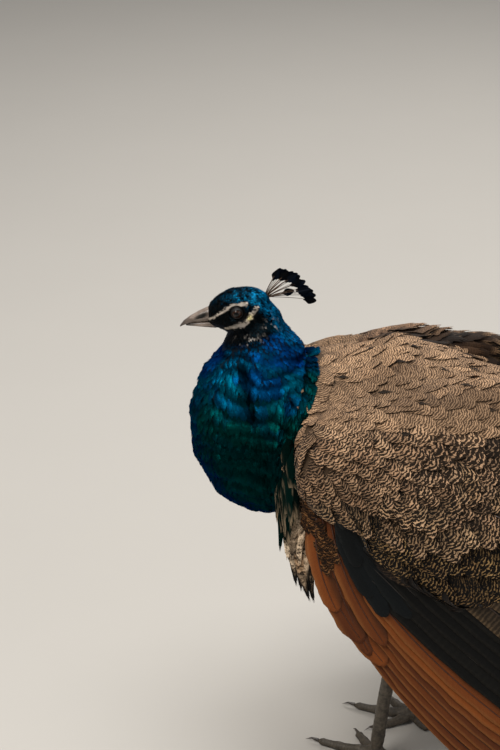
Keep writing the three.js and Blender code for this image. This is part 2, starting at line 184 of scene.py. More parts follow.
def skin_unwrap(points):
    """An unwrap of the bird's own shape: length along the body against the turn round it.

    The axis runs from the bill down the neck and back through the trunk to the tail, so every
    place on the skin has its own spot, whichever side it is seen from.
    """
    points = np.asarray(points, float)
    axis = np.array(
        [(-200, 517), (-160, 520), (-135, 500), (-142, 440), (-130, 375), (-60, 350),
         (60, 345), (200, 378), (420, 330), (640, 250)], float,
    )
    legs = points[:, 2] < 175
    flat = points[:, [0, 2]]
    best = np.full(len(points), np.inf)
    along = np.zeros(len(points))
    turn = np.zeros(len(points))
    done = 0.0
    total = np.linalg.norm(np.diff(axis, axis=0), axis=1).sum()
    for start, end in zip(axis[:-1], axis[1:]):
        run = end - start
        length = np.linalg.norm(run)
        share = np.clip((flat - start) @ run / length**2, 0, 1)
        gap = flat - (start + share[:, None] * run)
        away = np.linalg.norm(gap, axis=1)
        up = gap @ np.array((-run[1], run[0])) / length
        nearer = away < best
        best = np.where(nearer, away, best)
        along = np.where(nearer, (done + share * length) / total, along)
        turn = np.where(nearer, np.arctan2(points[:, 1], up) / (2 * math.pi) + 0.5, turn)
        done += length
    u = 0.02 + 0.96 * along
    v = 0.12 + 0.86 * turn
    leg_u = 0.05 + 0.4 * np.clip((points[:, 0] + 120) / 260, 0, 1) + 0.45 * (points[:, 1] > 0)
    leg_v = 0.01 + 0.1 * np.clip(points[:, 2] / 175, 0, 1)
    return np.stack([np.where(legs, leg_u, u), np.where(legs, leg_v, v)], axis=1)


# ---------------------------------------------------------------------------------------------
# Materials: what several of them share is a node group


def group(name, inputs, outputs):
    tree = bpy.data.node_groups.new(name, "ShaderNodeTree")
    for label, kind, value in inputs:
        socket = tree.interface.new_socket(label, in_out="INPUT", socket_type=kind)
        socket.default_value = value
    for label, kind in outputs:
        tree.interface.new_socket(label, in_out="OUTPUT", socket_type=kind)
    return tree, tree.nodes.new("NodeGroupInput").outputs, tree.nodes.new("NodeGroupOutput").inputs


class Bench:
    """Short ways to lay nodes in one tree."""

    def __init__(self, tree):
        self.tree = tree

    def node(self, kind, values=None, **settings):
        node = self.tree.nodes.new(kind)
        for key, value in settings.items():
            setattr(node, key, value)
        for key, value in (values or {}).items():
            self.feed(node.inputs[key], value)
        return node

    def feed(self, socket, value):
        if isinstance(value, bpy.types.NodeSocket):
            self.tree.links.new(value, socket)
        else:
            socket.default_value = value

    def maths(self, operation, first, second=0.0, third=0.0, clamp=False):
        node = self.node("ShaderNodeMath", operation=operation, use_clamp=clamp)
        for socket, value in zip(node.inputs, (first, second, third)):
            self.feed(socket, value)
        return node.outputs[0]

    def step(self, value, low, high):
        node = self.node("ShaderNodeMapRange", interpolation_type="SMOOTHSTEP")
        for key, amount in (("Value", value), ("From Min", low), ("From Max", high)):
            self.feed(node.inputs[key], amount)
        return node.outputs["Result"]

    def blend(self, first, second, share, kind="MIX"):
        node = self.node("ShaderNodeMix", data_type="RGBA", blend_type=kind)
        self.feed(node.inputs["Factor"], share)
        self.feed(node.inputs["A"], first)
        self.feed(node.inputs["B"], second)
        return node.outputs["Result"]

    def noise(self, vector, scale, detail=2.0, roughness=0.5):
        node = self.node("ShaderNodeTexNoise", noise_dimensions="3D")
        for key, amount in (("Vector", vector), ("Scale", scale), ("Detail", detail), ("Roughness", roughness)):
            self.feed(node.inputs[key], amount)
        return node.outputs["Fac"]

    def attribute(self, name):
        return self.node("ShaderNodeAttribute", attribute_name=name, attribute_type="GEOMETRY")

    def object_place(self):
        return self.node("ShaderNodeTexCoord").outputs["Object"]


def vane_markings():
    """Wavy cross bars with thin pale lines and speckles, shaft line and barbs of a vane.

    Place is where on the vane a point is: across, along (mm) and the vane's own number.
    Law is the bars' spacing (mm), how far they break into marks, and how much the dark marks fill.
    """
    tree, given, out = group(
        "vane_markings",
        [("Ground", "NodeSocketColor", (0.5, 0.5, 0.5, 1)), ("Mark", "NodeSocketColor", (0, 0, 0, 1)),
         ("Strength", "NodeSocketFloat", 0.5), ("Place", "NodeSocketVector", (0, 0, 0)),
         ("Law", "NodeSocketVector", (3, 0, 0)), ("Wave", "NodeSocketFloat", 0.35),
         ("Barb", "NodeSocketFloat", 0.3), ("Shaft", "NodeSocketFloat", 0.0)],
        [("Colour", "NodeSocketColor"), ("Height", "NodeSocketFloat"), ("Bars", "NodeSocketFloat")],
    )
    b = Bench(tree)
    place = b.node("ShaderNodeSeparateXYZ", {0: given["Place"]}).outputs
    law = b.node("ShaderNodeSeparateXYZ", {0: given["Law"]}).outputs
    across, along, number = place[0], place[1], place[2]
    side = b.maths("ABSOLUTE", across)
    own = b.maths("MULTIPLY", number, 37.0)
    vane = b.node("ShaderNodeCombineXYZ", {0: across, 1: along, 2: own}).outputs[0]
    # the bars wander, and break up where the second noise is low
    wander = b.maths("SUBTRACT", b.noise(vane, 0.26, 3.0, 0.6), 0.5)
    turns = b.maths("DIVIDE", along, law[0])
    turns = b.maths("ADD", turns, b.maths("MULTIPLY", wander, b.maths("MULTIPLY", given["Wave"], 9.0)))
    ripple = b.maths("SINE", b.maths("MULTIPLY", turns, 2 * math.pi))
    patchy = b.node("ShaderNodeCombineXYZ", {0: b.maths("MULTIPLY", across, 1.0), 1: b.maths("MULTIPLY", along, 1.1), 2: own}).outputs[0]
    gaps = b.maths("MULTIPLY", b.maths("SUBTRACT", b.noise(patchy, 0.34, 2.0, 0.6), 0.5), b.maths("MULTIPLY", law[1], 8.0))
    bars = b.step(b.maths("ADD", b.maths("ADD", ripple, gaps), law[2]), -0.25, 0.55)
    bars = b.maths("MULTIPLY", bars, given["Strength"])
    thin = b.step(b.maths("ADD", ripple, b.maths("MULTIPLY", gaps, 0.5)), -0.3, -0.85)
    thin = b.maths("MULTIPLY", thin, given["Strength"])
    speckle = b.step(b.noise(vane, 0.9, 2.0, 0.6), 0.50, 0.62)
    ground = b.blend(given["Ground"], (0.64, 0.6, 0.56, 1), given["Strength"], "MULTIPLY")
    ground = b.blend(ground, (1.95, 2.02, 2.12, 1), thin, "MULTIPLY")
    ground = b.blend(ground, given["Mark"], b.maths("MULTIPLY", speckle, b.maths("MULTIPLY", given["Strength"], 0.35)))
    coloured = b.blend(ground, given["Mark"], bars)
    # barbs run out and forwards from the shaft
    slant = b.maths("SUBTRACT", along, b.maths("MULTIPLY", side, 0.9))
    fine = b.node("ShaderNodeCombineXYZ", {0: b.maths("MULTIPLY", slant, 1.5), 1: b.maths("MULTIPLY", side, 0.12), 2: own}).outputs[0]
    barbs = b.noise(fine, 1.0, 2.0, 0.6)
    tone = b.maths("MULTIPLY_ADD", b.maths("SUBTRACT", barbs, 0.5), b.maths("MULTIPLY", given["Barb"], 1.6), 1.0)
    coloured = b.blend(coloured, b.node("ShaderNodeCombineColor", {0: tone, 1: tone, 2: tone}).outputs[0], 1.0, "MULTIPLY")
    # a paler or darker shaft
    shaft = b.maths("SUBTRACT", 1.0, b.step(side, 0.15, 0.55), clamp=True)
    coloured = b.blend(coloured, b.blend(given["Ground"], (0.62, 0.42, 0.24, 1), 0.6), b.maths("MULTIPLY", shaft, given["Shaft"]))
    b.feed(out["Colour"], coloured)
    height = b.maths("ADD", b.maths("MULTIPLY", barbs, 0.7), b.maths("MULTIPLY", shaft, 0.5))
    b.feed(out["Height"], height)
    b.feed(out["Bars"], bars)
    return tree


MARKINGS = vane_markings()


def vane_material(name, rough, metal=0.0, sheen=0.2, bump=0.25, wave=0.35, barb=0.3, shaft=0.0, coat=0.0, specular=0.35, rim=(1, 1, 1)):
    """Plumage: its colours come with each vane, its bars and barbs from the shared group."""
    material = bpy.data.materials.new(name)
    material.use_nodes = True
    b = Bench(material.node_tree)
    body = material.node_tree.nodes["Principled BSDF"]
    ground, mark = b.attribute("ground"), b.attribute("mark")
    vane = b.node("ShaderNodeGroup", node_tree=MARKINGS)
    for key, value in (("Ground", ground.outputs["Color"]), ("Mark", mark.outputs["Color"]),
                       ("Strength", mark.outputs["Alpha"]), ("Place", b.attribute("vane_place").outputs["Vector"]),
                       ("Law", b.attribute("vane_law").outputs["Vector"]), ("Wave", wave), ("Barb", barb), ("Shaft", shaft)):
        b.feed(vane.inputs[key], value)
    b.feed(body.inputs["Base Color"], vane.outputs["Colour"])
    roughness = b.maths("MULTIPLY_ADD", vane.outputs["Bars"], 0.1, rough)
    b.feed(body.inputs["Roughness"], roughness)
    if metal:
        b.feed(body.inputs["Metallic"], b.maths("MULTIPLY", ground.outputs["Alpha"], metal))
    body.inputs["Sheen Weight"].default_value = sheen
    body.inputs["Sheen Roughness"].default_value = 0.5
    body.inputs["Coat Weight"].default_value = coat
    body.inputs["Coat Roughness"].default_value = 0.35
    body.inputs["Specular IOR Level"].default_value = specular
    body.inputs["Specular Tint"].default_value = (*rim, 1)
    bumped = b.node("ShaderNodeBump", {"Height": vane.outputs["Height"], "Strength": bump, "Distance": 0.0006})
    b.feed(body.inputs["Normal"], bumped.outputs[0])
    return material


def weathered():
    """Two scales of mottling and fine grain for horn and bare skin, in object space."""
    tree, given, out = group(
        "horn_grain",
        [("Pale", "NodeSocketColor", (0.5, 0.5, 0.5, 1)), ("Dark", "NodeSocketColor", (0.1, 0.1, 0.1, 1)),
         ("Size", "NodeSocketFloat", 200.0), ("Contrast", "NodeSocketFloat", 1.0), ("Stretch", "NodeSocketVector", (1, 1, 1))],
        [("Colour", "NodeSocketColor"), ("Height", "NodeSocketFloat"), ("Fac", "NodeSocketFloat")],
    )
    b = Bench(tree)
    spot = b.node("ShaderNodeVectorMath", {0: b.object_place(), 1: given["Stretch"]}, operation="MULTIPLY").outputs[0]
    broad = b.noise(spot, given["Size"], 3.0, 0.6)
    fine = b.noise(spot, b.maths("MULTIPLY", given["Size"], 5.0), 3.0, 0.65)
    share = b.maths("ADD", b.maths("MULTIPLY", broad, 0.65), b.maths("MULTIPLY", fine, 0.35))
    share = b.maths("MULTIPLY_ADD", b.maths("SUBTRACT", share, 0.5), b.maths("MULTIPLY", given["Contrast"], 3.0), 0.5, clamp=True)
    b.feed(out["Colour"], b.blend(given["Dark"], given["Pale"], share))
    b.feed(out["Height"], fine)
    b.feed(out["Fac"], share)
    return tree


GRAIN = weathered()


def horn_material(name, pale, dark, rough, size=200.0, contrast=1.0, stretch=(1, 1, 1), bump=0.2, coat=0.0, tint=None):
    """Horn, claw or scale: mottled between two tones; tint names a colour attribute that multiplies it."""
    material = bpy.data.materials.new(name)
    material.use_nodes = True
    b = Bench(material.node_tree)
    body = material.node_tree.nodes["Principled BSDF"]
    grain = b.node("ShaderNodeGroup", node_tree=GRAIN)
    for key, value in (("Pale", (*pale, 1)), ("Dark", (*dark, 1)), ("Size", size), ("Contrast", contrast), ("Stretch", stretch)):
        b.feed(grain.inputs[key], value)
    tone = grain.outputs["Colour"]
    if tint:
        tone = b.blend(tone, b.attribute(tint).outputs["Color"], 1.0, "MULTIPLY")
    b.feed(body.inputs["Base Color"], tone)
    b.feed(body.inputs["Roughness"], b.maths("MULTIPLY_ADD", grain.outputs["Fac"], -0.12, rough + 0.06))
    body.inputs["Coat Weight"].default_value = coat
    body.inputs["Coat Roughness"].default_value = 0.2
    bumped = b.node("ShaderNodeBump", {"Height": grain.outputs["Height"], "Strength": bump, "Distance": 0.0004})
    b.feed(body.inputs["Normal"], bumped.outputs[0])
    return material


def skin_material():
    """The skin between the feathers, in the plumage's own markings darkened as painted shade, with fine folds."""
    material = bpy.data.materials.new("bird_skin")
    material.use_nodes = True
    b = Bench(material.node_tree)
    body = material.node_tree.nodes["Principled BSDF"]
    folds = b.noise(b.object_place(), 900.0, 4.0, 0.65)
    shade = b.maths("MULTIPLY_ADD", folds, 0.5, 0.75)
    tone = b.node("ShaderNodeCombineColor", {0: shade, 1: shade, 2: shade}).outputs[0]
    b.feed(body.inputs["Base Color"], b.blend(b.attribute("ground").outputs["Color"], tone, 1.0, "MULTIPLY"))
    body.inputs["Roughness"].default_value = 0.75
    body.inputs["Specular IOR Level"].default_value = 0.12
    bumped = b.node("ShaderNodeBump", {"Height": folds, "Strength": 0.5, "Distance": 0.0004})
    b.feed(body.inputs["Normal"], bumped.outputs[0])
    return material


def eye_material():
    """A dark brown iris round a black pupil under a wet clear coat; each eye looks out sideways."""
    material = bpy.data.materials.new("wet_eye")
    material.use_nodes = True
    b = Bench(material.node_tree)
    body = material.node_tree.nodes["Principled BSDF"]
    centre = bird_to_row(EYE)
    spot = b.node("ShaderNodeSeparateXYZ", {0: b.object_place()}).outputs
    dx = b.maths("SUBTRACT", spot[0], float(centre[0]) - 0.0006)
    dz = b.maths("SUBTRACT", spot[2], float(centre[2]))
    radius = b.maths("SQRT", b.maths("ADD", b.maths("MULTIPLY", dx, dx), b.maths("MULTIPLY", dz, dz)))
    streaks = b.noise(b.object_place(), 1400.0, 2.0, 0.6)
    iris = b.blend((0.012, 0.005, 0.003, 1), (0.045, 0.016, 0.007, 1), streaks)
    shown = b.blend((0.002, 0.002, 0.002, 1), iris, b.step(radius, 0.0023, 0.0029))
    shown = b.blend(shown, (0.008, 0.006, 0.005, 1), b.step(radius, 0.0046, 0.0054))
    b.feed(body.inputs["Base Color"], shown)
    body.inputs["Roughness"].default_value = 0.3
    body.inputs["Specular IOR Level"].default_value = 0.1
    body.inputs["Coat Weight"].default_value = 0.55
    body.inputs["Coat Roughness"].default_value = 0.03
    return material


BLUE_VANE = vane_material("blue_plumage", 0.45, metal=1.0, sheen=0.0, bump=0.5, barb=0.6, wave=0.1, rim=(0.05, 0.3, 0.6))
HEAD_VANE = vane_material("head_plumage", 0.42, metal=0.95, sheen=0.0, bump=0.3, barb=0.4, wave=0.1, specular=0.2, rim=(0.2, 0.5, 0.7))
BARRED_VANE = vane_material("barred_plumage", 0.72, sheen=0.05, bump=0.35, wave=0.24, barb=0.5, specular=0.15)
FLANK_VANE = vane_material("flank_plumage", 0.6, metal=1.0, sheen=0.0, specular=0.12, bump=0.4, wave=0.2, barb=0.5)
PALE_VANE = vane_material("pale_plumage", 0.8, sheen=0.1, specular=0.2, bump=0.3, wave=0.2, barb=0.35)
BACK_VANE = vane_material("bronze_plumage", 0.5, metal=0.5, sheen=0.1, bump=0.35, wave=0.25, barb=0.4)
QUILL_VANE = vane_material("quill_vanes", 0.55, metal=0.3, sheen=0.0, bump=0.4, wave=0.1, barb=0.35, shaft=0.0, specular=0.18)
CREST_VANE = vane_material("crest_plumage", 0.4, metal=0.9, sheen=0.0, bump=0.3, wave=0.1, barb=0.4)
SHAFT_HORN = horn_material("quill_shafts", colour("c29a70"), colour("6b4a2e"), 0.4, 120.0, 0.8, tint="ground")
BILL_HORN = horn_material("bill_horn", colour("a08f82"), colour("5a4c42"), 0.34, 160.0, 1.1, (0.4, 1, 1), 0.15, 0.25, tint="ground")
CLAW_HORN = horn_material("claw_horn", colour("5c5148"), colour("221c18"), 0.38, 180.0, 1.0, (1, 1, 0.5), 0.2, 0.2)
LEG_SCALE = horn_material("leg_scales", colour("62584a"), colour("362f26"), 0.55, 140.0, 1.0, (1, 1, 1), 0.35, tint="ground")
SKIN = skin_material()
WET_EYE = eye_material()


# ---------------------------------------------------------------------------------------------
# Markings: where each colour of the plumage lies on the bird


def near_line(points, line):
    """How far points lie from a line of (x, z) places seen from the side."""
    flat = points[:, [0, 2]]
    line = np.asarray(line, float)
    best = np.full(len(points), np.inf)
    for start, end in zip(line[:-1], line[1:]):
        run = end - start
        share = np.clip((flat - start) @ run / (run @ run), 0, 1)
        best = np.minimum(best, np.linalg.norm(flat - (start + share[:, None] * run), axis=1))
    return best


NAPE = np.array([(-140, 545), (-134, 538), (-124, 528.5), (-113, 515), (-103.5, 501.5), (-92, 488), (-82, 478)], float)
BROW = [(-187.5, 517.6), (-183.5, 520.0), (-178, 525), (-170, 531), (-162, 535.6), (-150.5, 537)]
CHEEK = [(-171, 508.6), (-162, 512.6), (-155, 515.4), (-149.5, 518.8), (-146, 523.5)]
TUFT = [(-145.5, 525.5), (-142, 529.5), (-138.5, 534)]
GOLD_SPOT = np.array((-146.0, -18.0, 523.6))


def bare_face(points):
    """1 on the white bare skin of brow and cheek, 0 on feathers, for the side of the head."""
    side = smooth(3.0, 6.0, np.abs(points[:, 1]))
    x = points[:, 0]
    fray = 0.2 + 1.35 * value_noise(points, 2.0, 4)
    brow_width = 1.6 * fray * mix(0.62, 1.0, smooth(-182, -166, x))
    brow = 1 - smooth(brow_width, brow_width + 0.8, near_line(points, BROW))
    cheek_width = 2.6 * fray * mix(0.4, 1.0, smooth(-170, -156, x))
    cheek = 1 - smooth(cheek_width, cheek_width + 0.9, near_line(points, CHEEK))
    tuft_width = 1.9 * fray
    cheek = np.maximum(cheek, 0.8 * (1 - smooth(tuft_width, tuft_width + 1.0, near_line(points, TUFT))))
    spots = value_noise(points, 2.6, 3)
    behind = np.exp(-(((points[:, 0] + 124) / 6) ** 2 + ((points[:, 2] - 514) / 9) ** 2))
    below = np.exp(-(((points[:, 0] + 143) / 14) ** 2 + ((points[:, 2] - 500) / 4.5) ** 2))
    flecks = smooth(0.62, 0.72, spots) * np.clip(behind + below, 0, 1) * 0.85
    return np.clip(np.maximum(np.maximum(brow, cheek), flecks) * side, 0, 1)


def head_colour(points):
    """Deep blue scale feathers on the crown, black round the eye and ear, green-black throat."""
    x, y, z = points.T
    crown = smooth(528, 539, z + 0.05 * (x + 150))
    nape = smooth(-136, -118, x + 0.35 * (z - 525))
    fleck = value_noise(points, 3.2, 5)
    tone = mix(colour("030506"), colour("085a7e"), (np.clip(crown * (fleck * 2.5 - 0.75), 0, 1))[:, None])
    tone = mix(tone, mix(colour("00252b"), colour("005a80"), (fleck**1.4)[:, None]), (nape * 0.9)[:, None])
    back = smooth(9.0, 3.0, near_line(points, NAPE)) * smooth(-140, -126, x)
    tone = mix(tone, mix(colour("004a70"), colour("0276a8"), fleck[:, None]), (back * 0.85)[:, None])
    throat = smooth(512, 498, z) * smooth(-128, -140, x)
    tone = mix(tone, colour("020c12"), (throat * 0.8)[:, None])
    forehead = smooth(-166, -178, x) * smooth(522, 530, z)
    tone = mix(tone, colour("03141c"), (forehead * 0.5)[:, None])
    metal = np.clip(0.6 + crown + nape, 0, 1)
    return tone, metal


def neck_rows(points):
    """0 to 1 down each scalloped row of the neck's plumage: rows hang over the ones below."""
    x, y, z = points.T
    sag = 9 * np.exp(-(((x + 150) / 45) ** 2)) + 30 * (value_noise(points, 30, 19) - 0.5)
    return np.mod((500 - z + sag) / 15.5, 1.0)


def neck_crease(points):
    """The fold down the side of the drawn-in neck: the skin sinks into it, and neck_colour paints it dark as shade."""
    x, y, z = points.T
    line = near_line(points, [(-155, 474), (-151, 462), (-147, 446), (-142, 424)])
    width = 3.5 + 6.5 * value_noise(points, 13, 41)
    return np.exp(-((line / width) ** 2)) * smooth(20, 34, np.abs(y))


def neck_colour(points):
    """Deep royal blue at nape, sides and front, teal in the middle, green-black low down."""
    x, y, z = points.T
    broad = value_noise(points, 38, 7)
    rows = neck_rows(points)
    patch = value_noise(points * np.array((1, 1, 1.8)), 17, 9)
    low = smooth(474, 410, z + 34 * (broad - 0.5))
    front = smooth(-178, -200, x)
    rear = smooth(-122, -102, x)
    hind = smooth(-116, -100, x) * smooth(484, 464, z)
    teal = np.clip(0.5 * hind + smooth(0.34, 0.66, patch) * 0.75 + 0.85 * low - 0.5 * front * (1 - low) - 0.35 * rear * (1 - low), 0, 1)
    blue = mix(colour("003672"), colour("04559c"), value_noise(points, 11, 11)[:, None])
    blue = mix(blue, colour("0272a0"), (0.8 * smooth(12, 4, near_line(points, NAPE)) * smooth(480, 500, z))[:, None])
    green = mix(colour("00485c"), colour("003f3a"), smooth(462, 415, z + 20 * (patch - 0.5))[:, None])
    tone = mix(blue, green, teal[:, None])
    deep = smooth(446, 384, z - 0.14 * (x + 160) + 30 * (broad - 0.5))
    tone = mix(tone, mix(colour("001f1d"), colour("002a2b"), patch[:, None]), (deep * 0.92)[:, None])
    under_chin = smooth(474, 492, z) * smooth(-128, -144, x)
    tone = mix(tone, colour("011c34"), (under_chin * 0.75)[:, None])
    # painted shade and light: each row darker at its top, as the shade under the row above; a painted highlight down
    # the neck's front; painted shade on the hind neck
    shade = 0.74 + 0.42 * smooth(0.1, 0.7, rows)
    shade = shade * mix(1.0, 1.5, smooth(-172, -196, x))
    shade = shade * (1 - 0.88 * neck_crease(points)) * (1 - 0.5 * hind)
    # a green rim where the neck meets the mantle
    rim = smooth(-14, -3, x - mantle_line(z)) * smooth(400, 430, z)
    tone = mix(tone, colour("003832"), (rim * 0.85)[:, None])
    return tone * shade[:, None], np.full(len(points), 1.0)


# Just below the edges of the wing's two broad lobes of feathers, as (x, z): where a painted shadow strip lies.
LOBE_SHADOW_LINES = [
    [(-14, 363), (8, 348), (36, 342), (68, 355), (92, 384), (95, 416), (84, 440)],
    [(-62, 341), (-40, 336), (-20, 336), (6, 325), (32, 320), (56, 321), (82, 327), (110, 329), (140, 335)],
]


def plumage(points, tract=None):
    """Ground colour, metal share, bar colour, bar strength and bar law for places on the bird.

    A tract's own name keeps the colours on the other side of its border out of it.
    """
    x, y, z = points.T
    count = len(points)
    mottle = value_noise(points, 26, 13)[:, None]
    fine = value_noise(points, 9, 15)[:, None]
    # mantle and coverts
    buff = mix(colour("9c7c5e"), colour("bc9a78"), mottle * 0.6 + fine * 0.4)
    rosy = mix(colour("98765a"), colour("c09e7c"), fine)
    ochre = mix(colour("846843"), colour("a88a62"), fine)
    lower = smooth(372, 320, z + 0.30 * (x - 20)) * smooth(-35, 10, x)
    wing = smooth(92, 110, np.abs(y) + 0.35 * (436 - z))
    tone = mix(buff, rosy, (wing * 0.8)[:, None])
    tone = mix(tone, ochre, (lower * 0.85)[:, None])
    bar = mix(colour("35251a"), colour("150e08"), wing[:, None])
    strength = mix(0.8, 0.95, wing)
    big = np.exp(-(((x - 62) / 45) ** 2 + ((z - 430) / 30) ** 2)) * wing
    period = mix(2.6, 3.3, wing) + 2.2 * big + 0.5 * smooth(-20, 60, x) * wing + 0.3 * lower
    broken = mix(0.3, 0.5, wing) + 0.2 * smooth(-20, 60, x) * wing
    # bold blotches on the hinder coverts, and a darker low edge
    bold = np.exp(-(((x - 45) / 26) ** 2 + ((z - 408) / 20) ** 2)) + np.exp(-(((x - 10) / 18) ** 2 + ((z - 375) / 12) ** 2))
    fill = 0.05 + 0.2 * wing + 0.3 * smooth(-30, 60, x) * wing + 0.3 * big + 0.4 * lower + 0.6 * np.clip(bold, 0, 1) * wing * smooth(0.4, 0.6, value_noise(points, 12, 21))
    metal = np.zeros(count)
    # painted shade along the sides of the back, where the mantle curves down towards the neck and wing
    shady = np.exp(-((near_line(points, [(-80, 466), (-46, 461), (-8, 462), (30, 464)]) / 13) ** 2)) * smooth(20, 45, np.abs(y))
    # painted shadow: a dark strip, with fuller marks, just below each lobe's edge
    lobe_shadow_distance = np.minimum(near_line(points, LOBE_SHADOW_LINES[0]), near_line(points, LOBE_SHADOW_LINES[1]))
    lobes = np.exp(-((lobe_shadow_distance / 5.5) ** 2)) * wing
    tone = tone * (1 - 0.6 * lobes)[:, None]
    fill = fill + 0.5 * lobes
    # painted shade in the valley between the mantle and the shoulders
    valley_shade = np.exp(-(((x - 70) / 60) ** 2 + ((np.abs(y) - 78) / 14) ** 2)) * smooth(440, 460, z)
    tone = tone * (1 - np.maximum(0.4 * shady, 0.5 * valley_shade)[:, None])
    # rump: brown with a bronze-green gloss
    rump = smooth(150, 215, x + 0.25 * (z - 400)) * (1 - smooth(100, 118, np.abs(y)))
    tone = mix(tone, mix(colour("4f3f2c"), colour("3f4a2c"), mottle), rump[:, None])
    bar = mix(bar, colour("1c1a14"), rump[:, None])
    metal = metal + 0.8 * rump
    # belly, flanks and thighs: pale buff
    under = smooth(330, 285, z + 0.12 * np.abs(x)) * (1 - smooth(104, 114, np.abs(y)))
    pale = mix(colour("a5896b"), colour("cbb394"), fine)
    pale = mix(pale, colour("6d5640"), smooth(150, 230, x)[:, None])
    tone = mix(tone, pale, under[:, None])
    strength = mix(strength, 0.12, under)
    # the blue of neck and breast, with a ragged border
    edge = 9 * (value_noise(points, 14, 17) - 0.5)
    front = blue_share(points, edge) if tract is None else np.full(count, float(tract in ("neck", "head")))
    neck, neck_metal = neck_colour(points)
    tone = mix(tone, neck, front[:, None])
    metal = mix(metal, neck_metal, front)
    strength = strength * (1 - front)
    period, broken = mix(period, 9.0, front), broken * (1 - front)
    head = head_share(points) if tract in (None, "head") else np.zeros(count)
    crown, crown_metal = head_colour(points)
    tone = mix(tone, crown, head[:, None])
    metal = mix(metal, crown_metal, head)
    white = bare_face(points) * head
    bare = mix(colour("cfc2b2"), colour("766c62"), value_noise(points, 2.4, 35)[:, None])
    grey = smooth(520, 514, z) * smooth(-166, -158, x)
    bare = mix(bare, colour("9a938c"), (grey * 0.6)[:, None])
    gold = np.exp(-(np.linalg.norm((points - GOLD_SPOT)[:, [0, 2]], axis=1) / 3.0) ** 2)
    bare = mix(bare, colour("e6d79a"), gold[:, None])
    tone = mix(tone, bare, white[:, None])
    metal = metal * (1 - white)
    return tone, metal, bar, strength, np.stack([period, broken, fill * (1 - front)], 1)


def mantle_line(z):
    """Where, from the side, the blue of the neck ends and the buff mantle begins."""
    heights = (300, 333, 356, 386, 410, 421, 437, 452, 473, 500)
    return np.interp(z, heights, (-104, -112, -112, -105, -106, -99, -87, -81, -77, -76)) - 3


def blue_share(points, edge=0.0):
    """1 on the blue neck and breast, 0 behind the line where the buff mantle starts."""
    x, y, z = points.T
    border = mantle_line(z)
    belly = smooth(278, 300, z + 0.2 * (x + 130) + edge)
    return smooth(3, -3, x - border + 0.5 * edge) * belly


def head_share(points):
    """1 on the head, from a line under the throat and behind the ear."""
    x, y, z = points.T
    return smooth(-4, 4, (z - 501) - 0.35 * (x + 136))


# ---------------------------------------------------------------------------------------------
# The skin


FLESH = [
    "head", "neck_upper", "neck_lower", "breast", "trunk", "rump",
    "thigh_left", "thigh_right",
    "wing_left_coverts", "wing_left_scapulars", "wing_right_coverts", "wing_right_scapulars",
]
LEGS = ["shank_left", "shank_right", "foot_left", "foot_right"]


def apply_all(obj):
    lone(obj)
    for modifier in list(obj.modifiers):
        bpy.ops.object.modifier_apply(modifier=modifier.name)


def merged_copies(name, nodes, swell):
    """One mesh of copies of CAD nodes, each merged and swollen a little so that they overlap."""
    made = bmesh.new()
    for node in nodes:
        part = bmesh.new()
        part.from_mesh(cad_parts[node].data)
        bmesh.ops.remove_doubles(part, verts=part.verts, dist=1e-5)
        part.normal_update()
        for vert in part.verts:
            vert.co += vert.normal * swell
        rough = bpy.data.meshes.new("copy")
        part.to_mesh(rough)
        made.from_mesh(rough)
        part.free()
    mesh = bpy.data.meshes.new(name)
    made.to_mesh(mesh)
    made.free()
    obj = bpy.data.objects.new(name, mesh)
    bpy.context.collection.objects.link(obj)
    return obj


def remeshed(obj, voxel, rounds):
    remesh = obj.modifiers.new("whole", "REMESH")
    remesh.mode = "VOXEL"
    remesh.voxel_size = voxel
    remesh.use_smooth_shade = True
    soften = obj.modifiers.new("soften", "SMOOTH")
    soften.factor = 0.5
    soften.iterations = rounds
    apply_all(obj)
    keep_largest(obj)
    return obj


def keep_largest(obj, share=0.02):
    """Drops loose crumbs that a remesh leaves inside."""
    made = bmesh.new()
    made.from_mesh(obj.data)
    seen, islands = set(), []
    for vert in made.verts:
        if vert in seen:
            continue
        island, queue = [], [vert]
        seen.add(vert)
        while queue:
            at = queue.pop()
            island.append(at)
            for link in at.link_edges:
                other = link.other_vert(at)
                if other not in seen:
                    seen.add(other)
                    queue.append(other)
        islands.append(island)
    most = max(len(island) for island in islands)
    crumbs = [vert for island in islands if len(island) < share * most for vert in island]
    bmesh.ops.delete(made, geom=crumbs, context="VERTS")
    made.to_mesh(obj.data)
    made.free()


def coat_depth(points):
    """How far the skin lies inside the coat's outline, in mm."""
    x, y, z = points.T
    depth = np.full(len(points), 4.5)
    depth = mix(depth, 0.9, smooth(496, 508, z - 0.35 * (x + 136)))
    return mix(depth, 3.0, smooth(250, 180, z))


def eye_socket(points):
    """Sinks the skin into a shallow almond round each eyeball, leaving the lids to stand round it."""
    for side in (LEFT, RIGHT):
        centre = EYE * np.array((1, -side, 1))
        gap = points - centre
        flat = np.hypot(gap[:, 0], gap[:, 2] * 1.12)
        outer = side * points[:, 1] > 4
        sink = 3.4 * (1 - smooth(5.2, 9.5, flat)) * outer
        ridge = 0.7 * np.exp(-(((flat - 9.2) / 1.6) ** 2)) * outer
        points[:, 1] -= side * (sink - ridge)
    return points


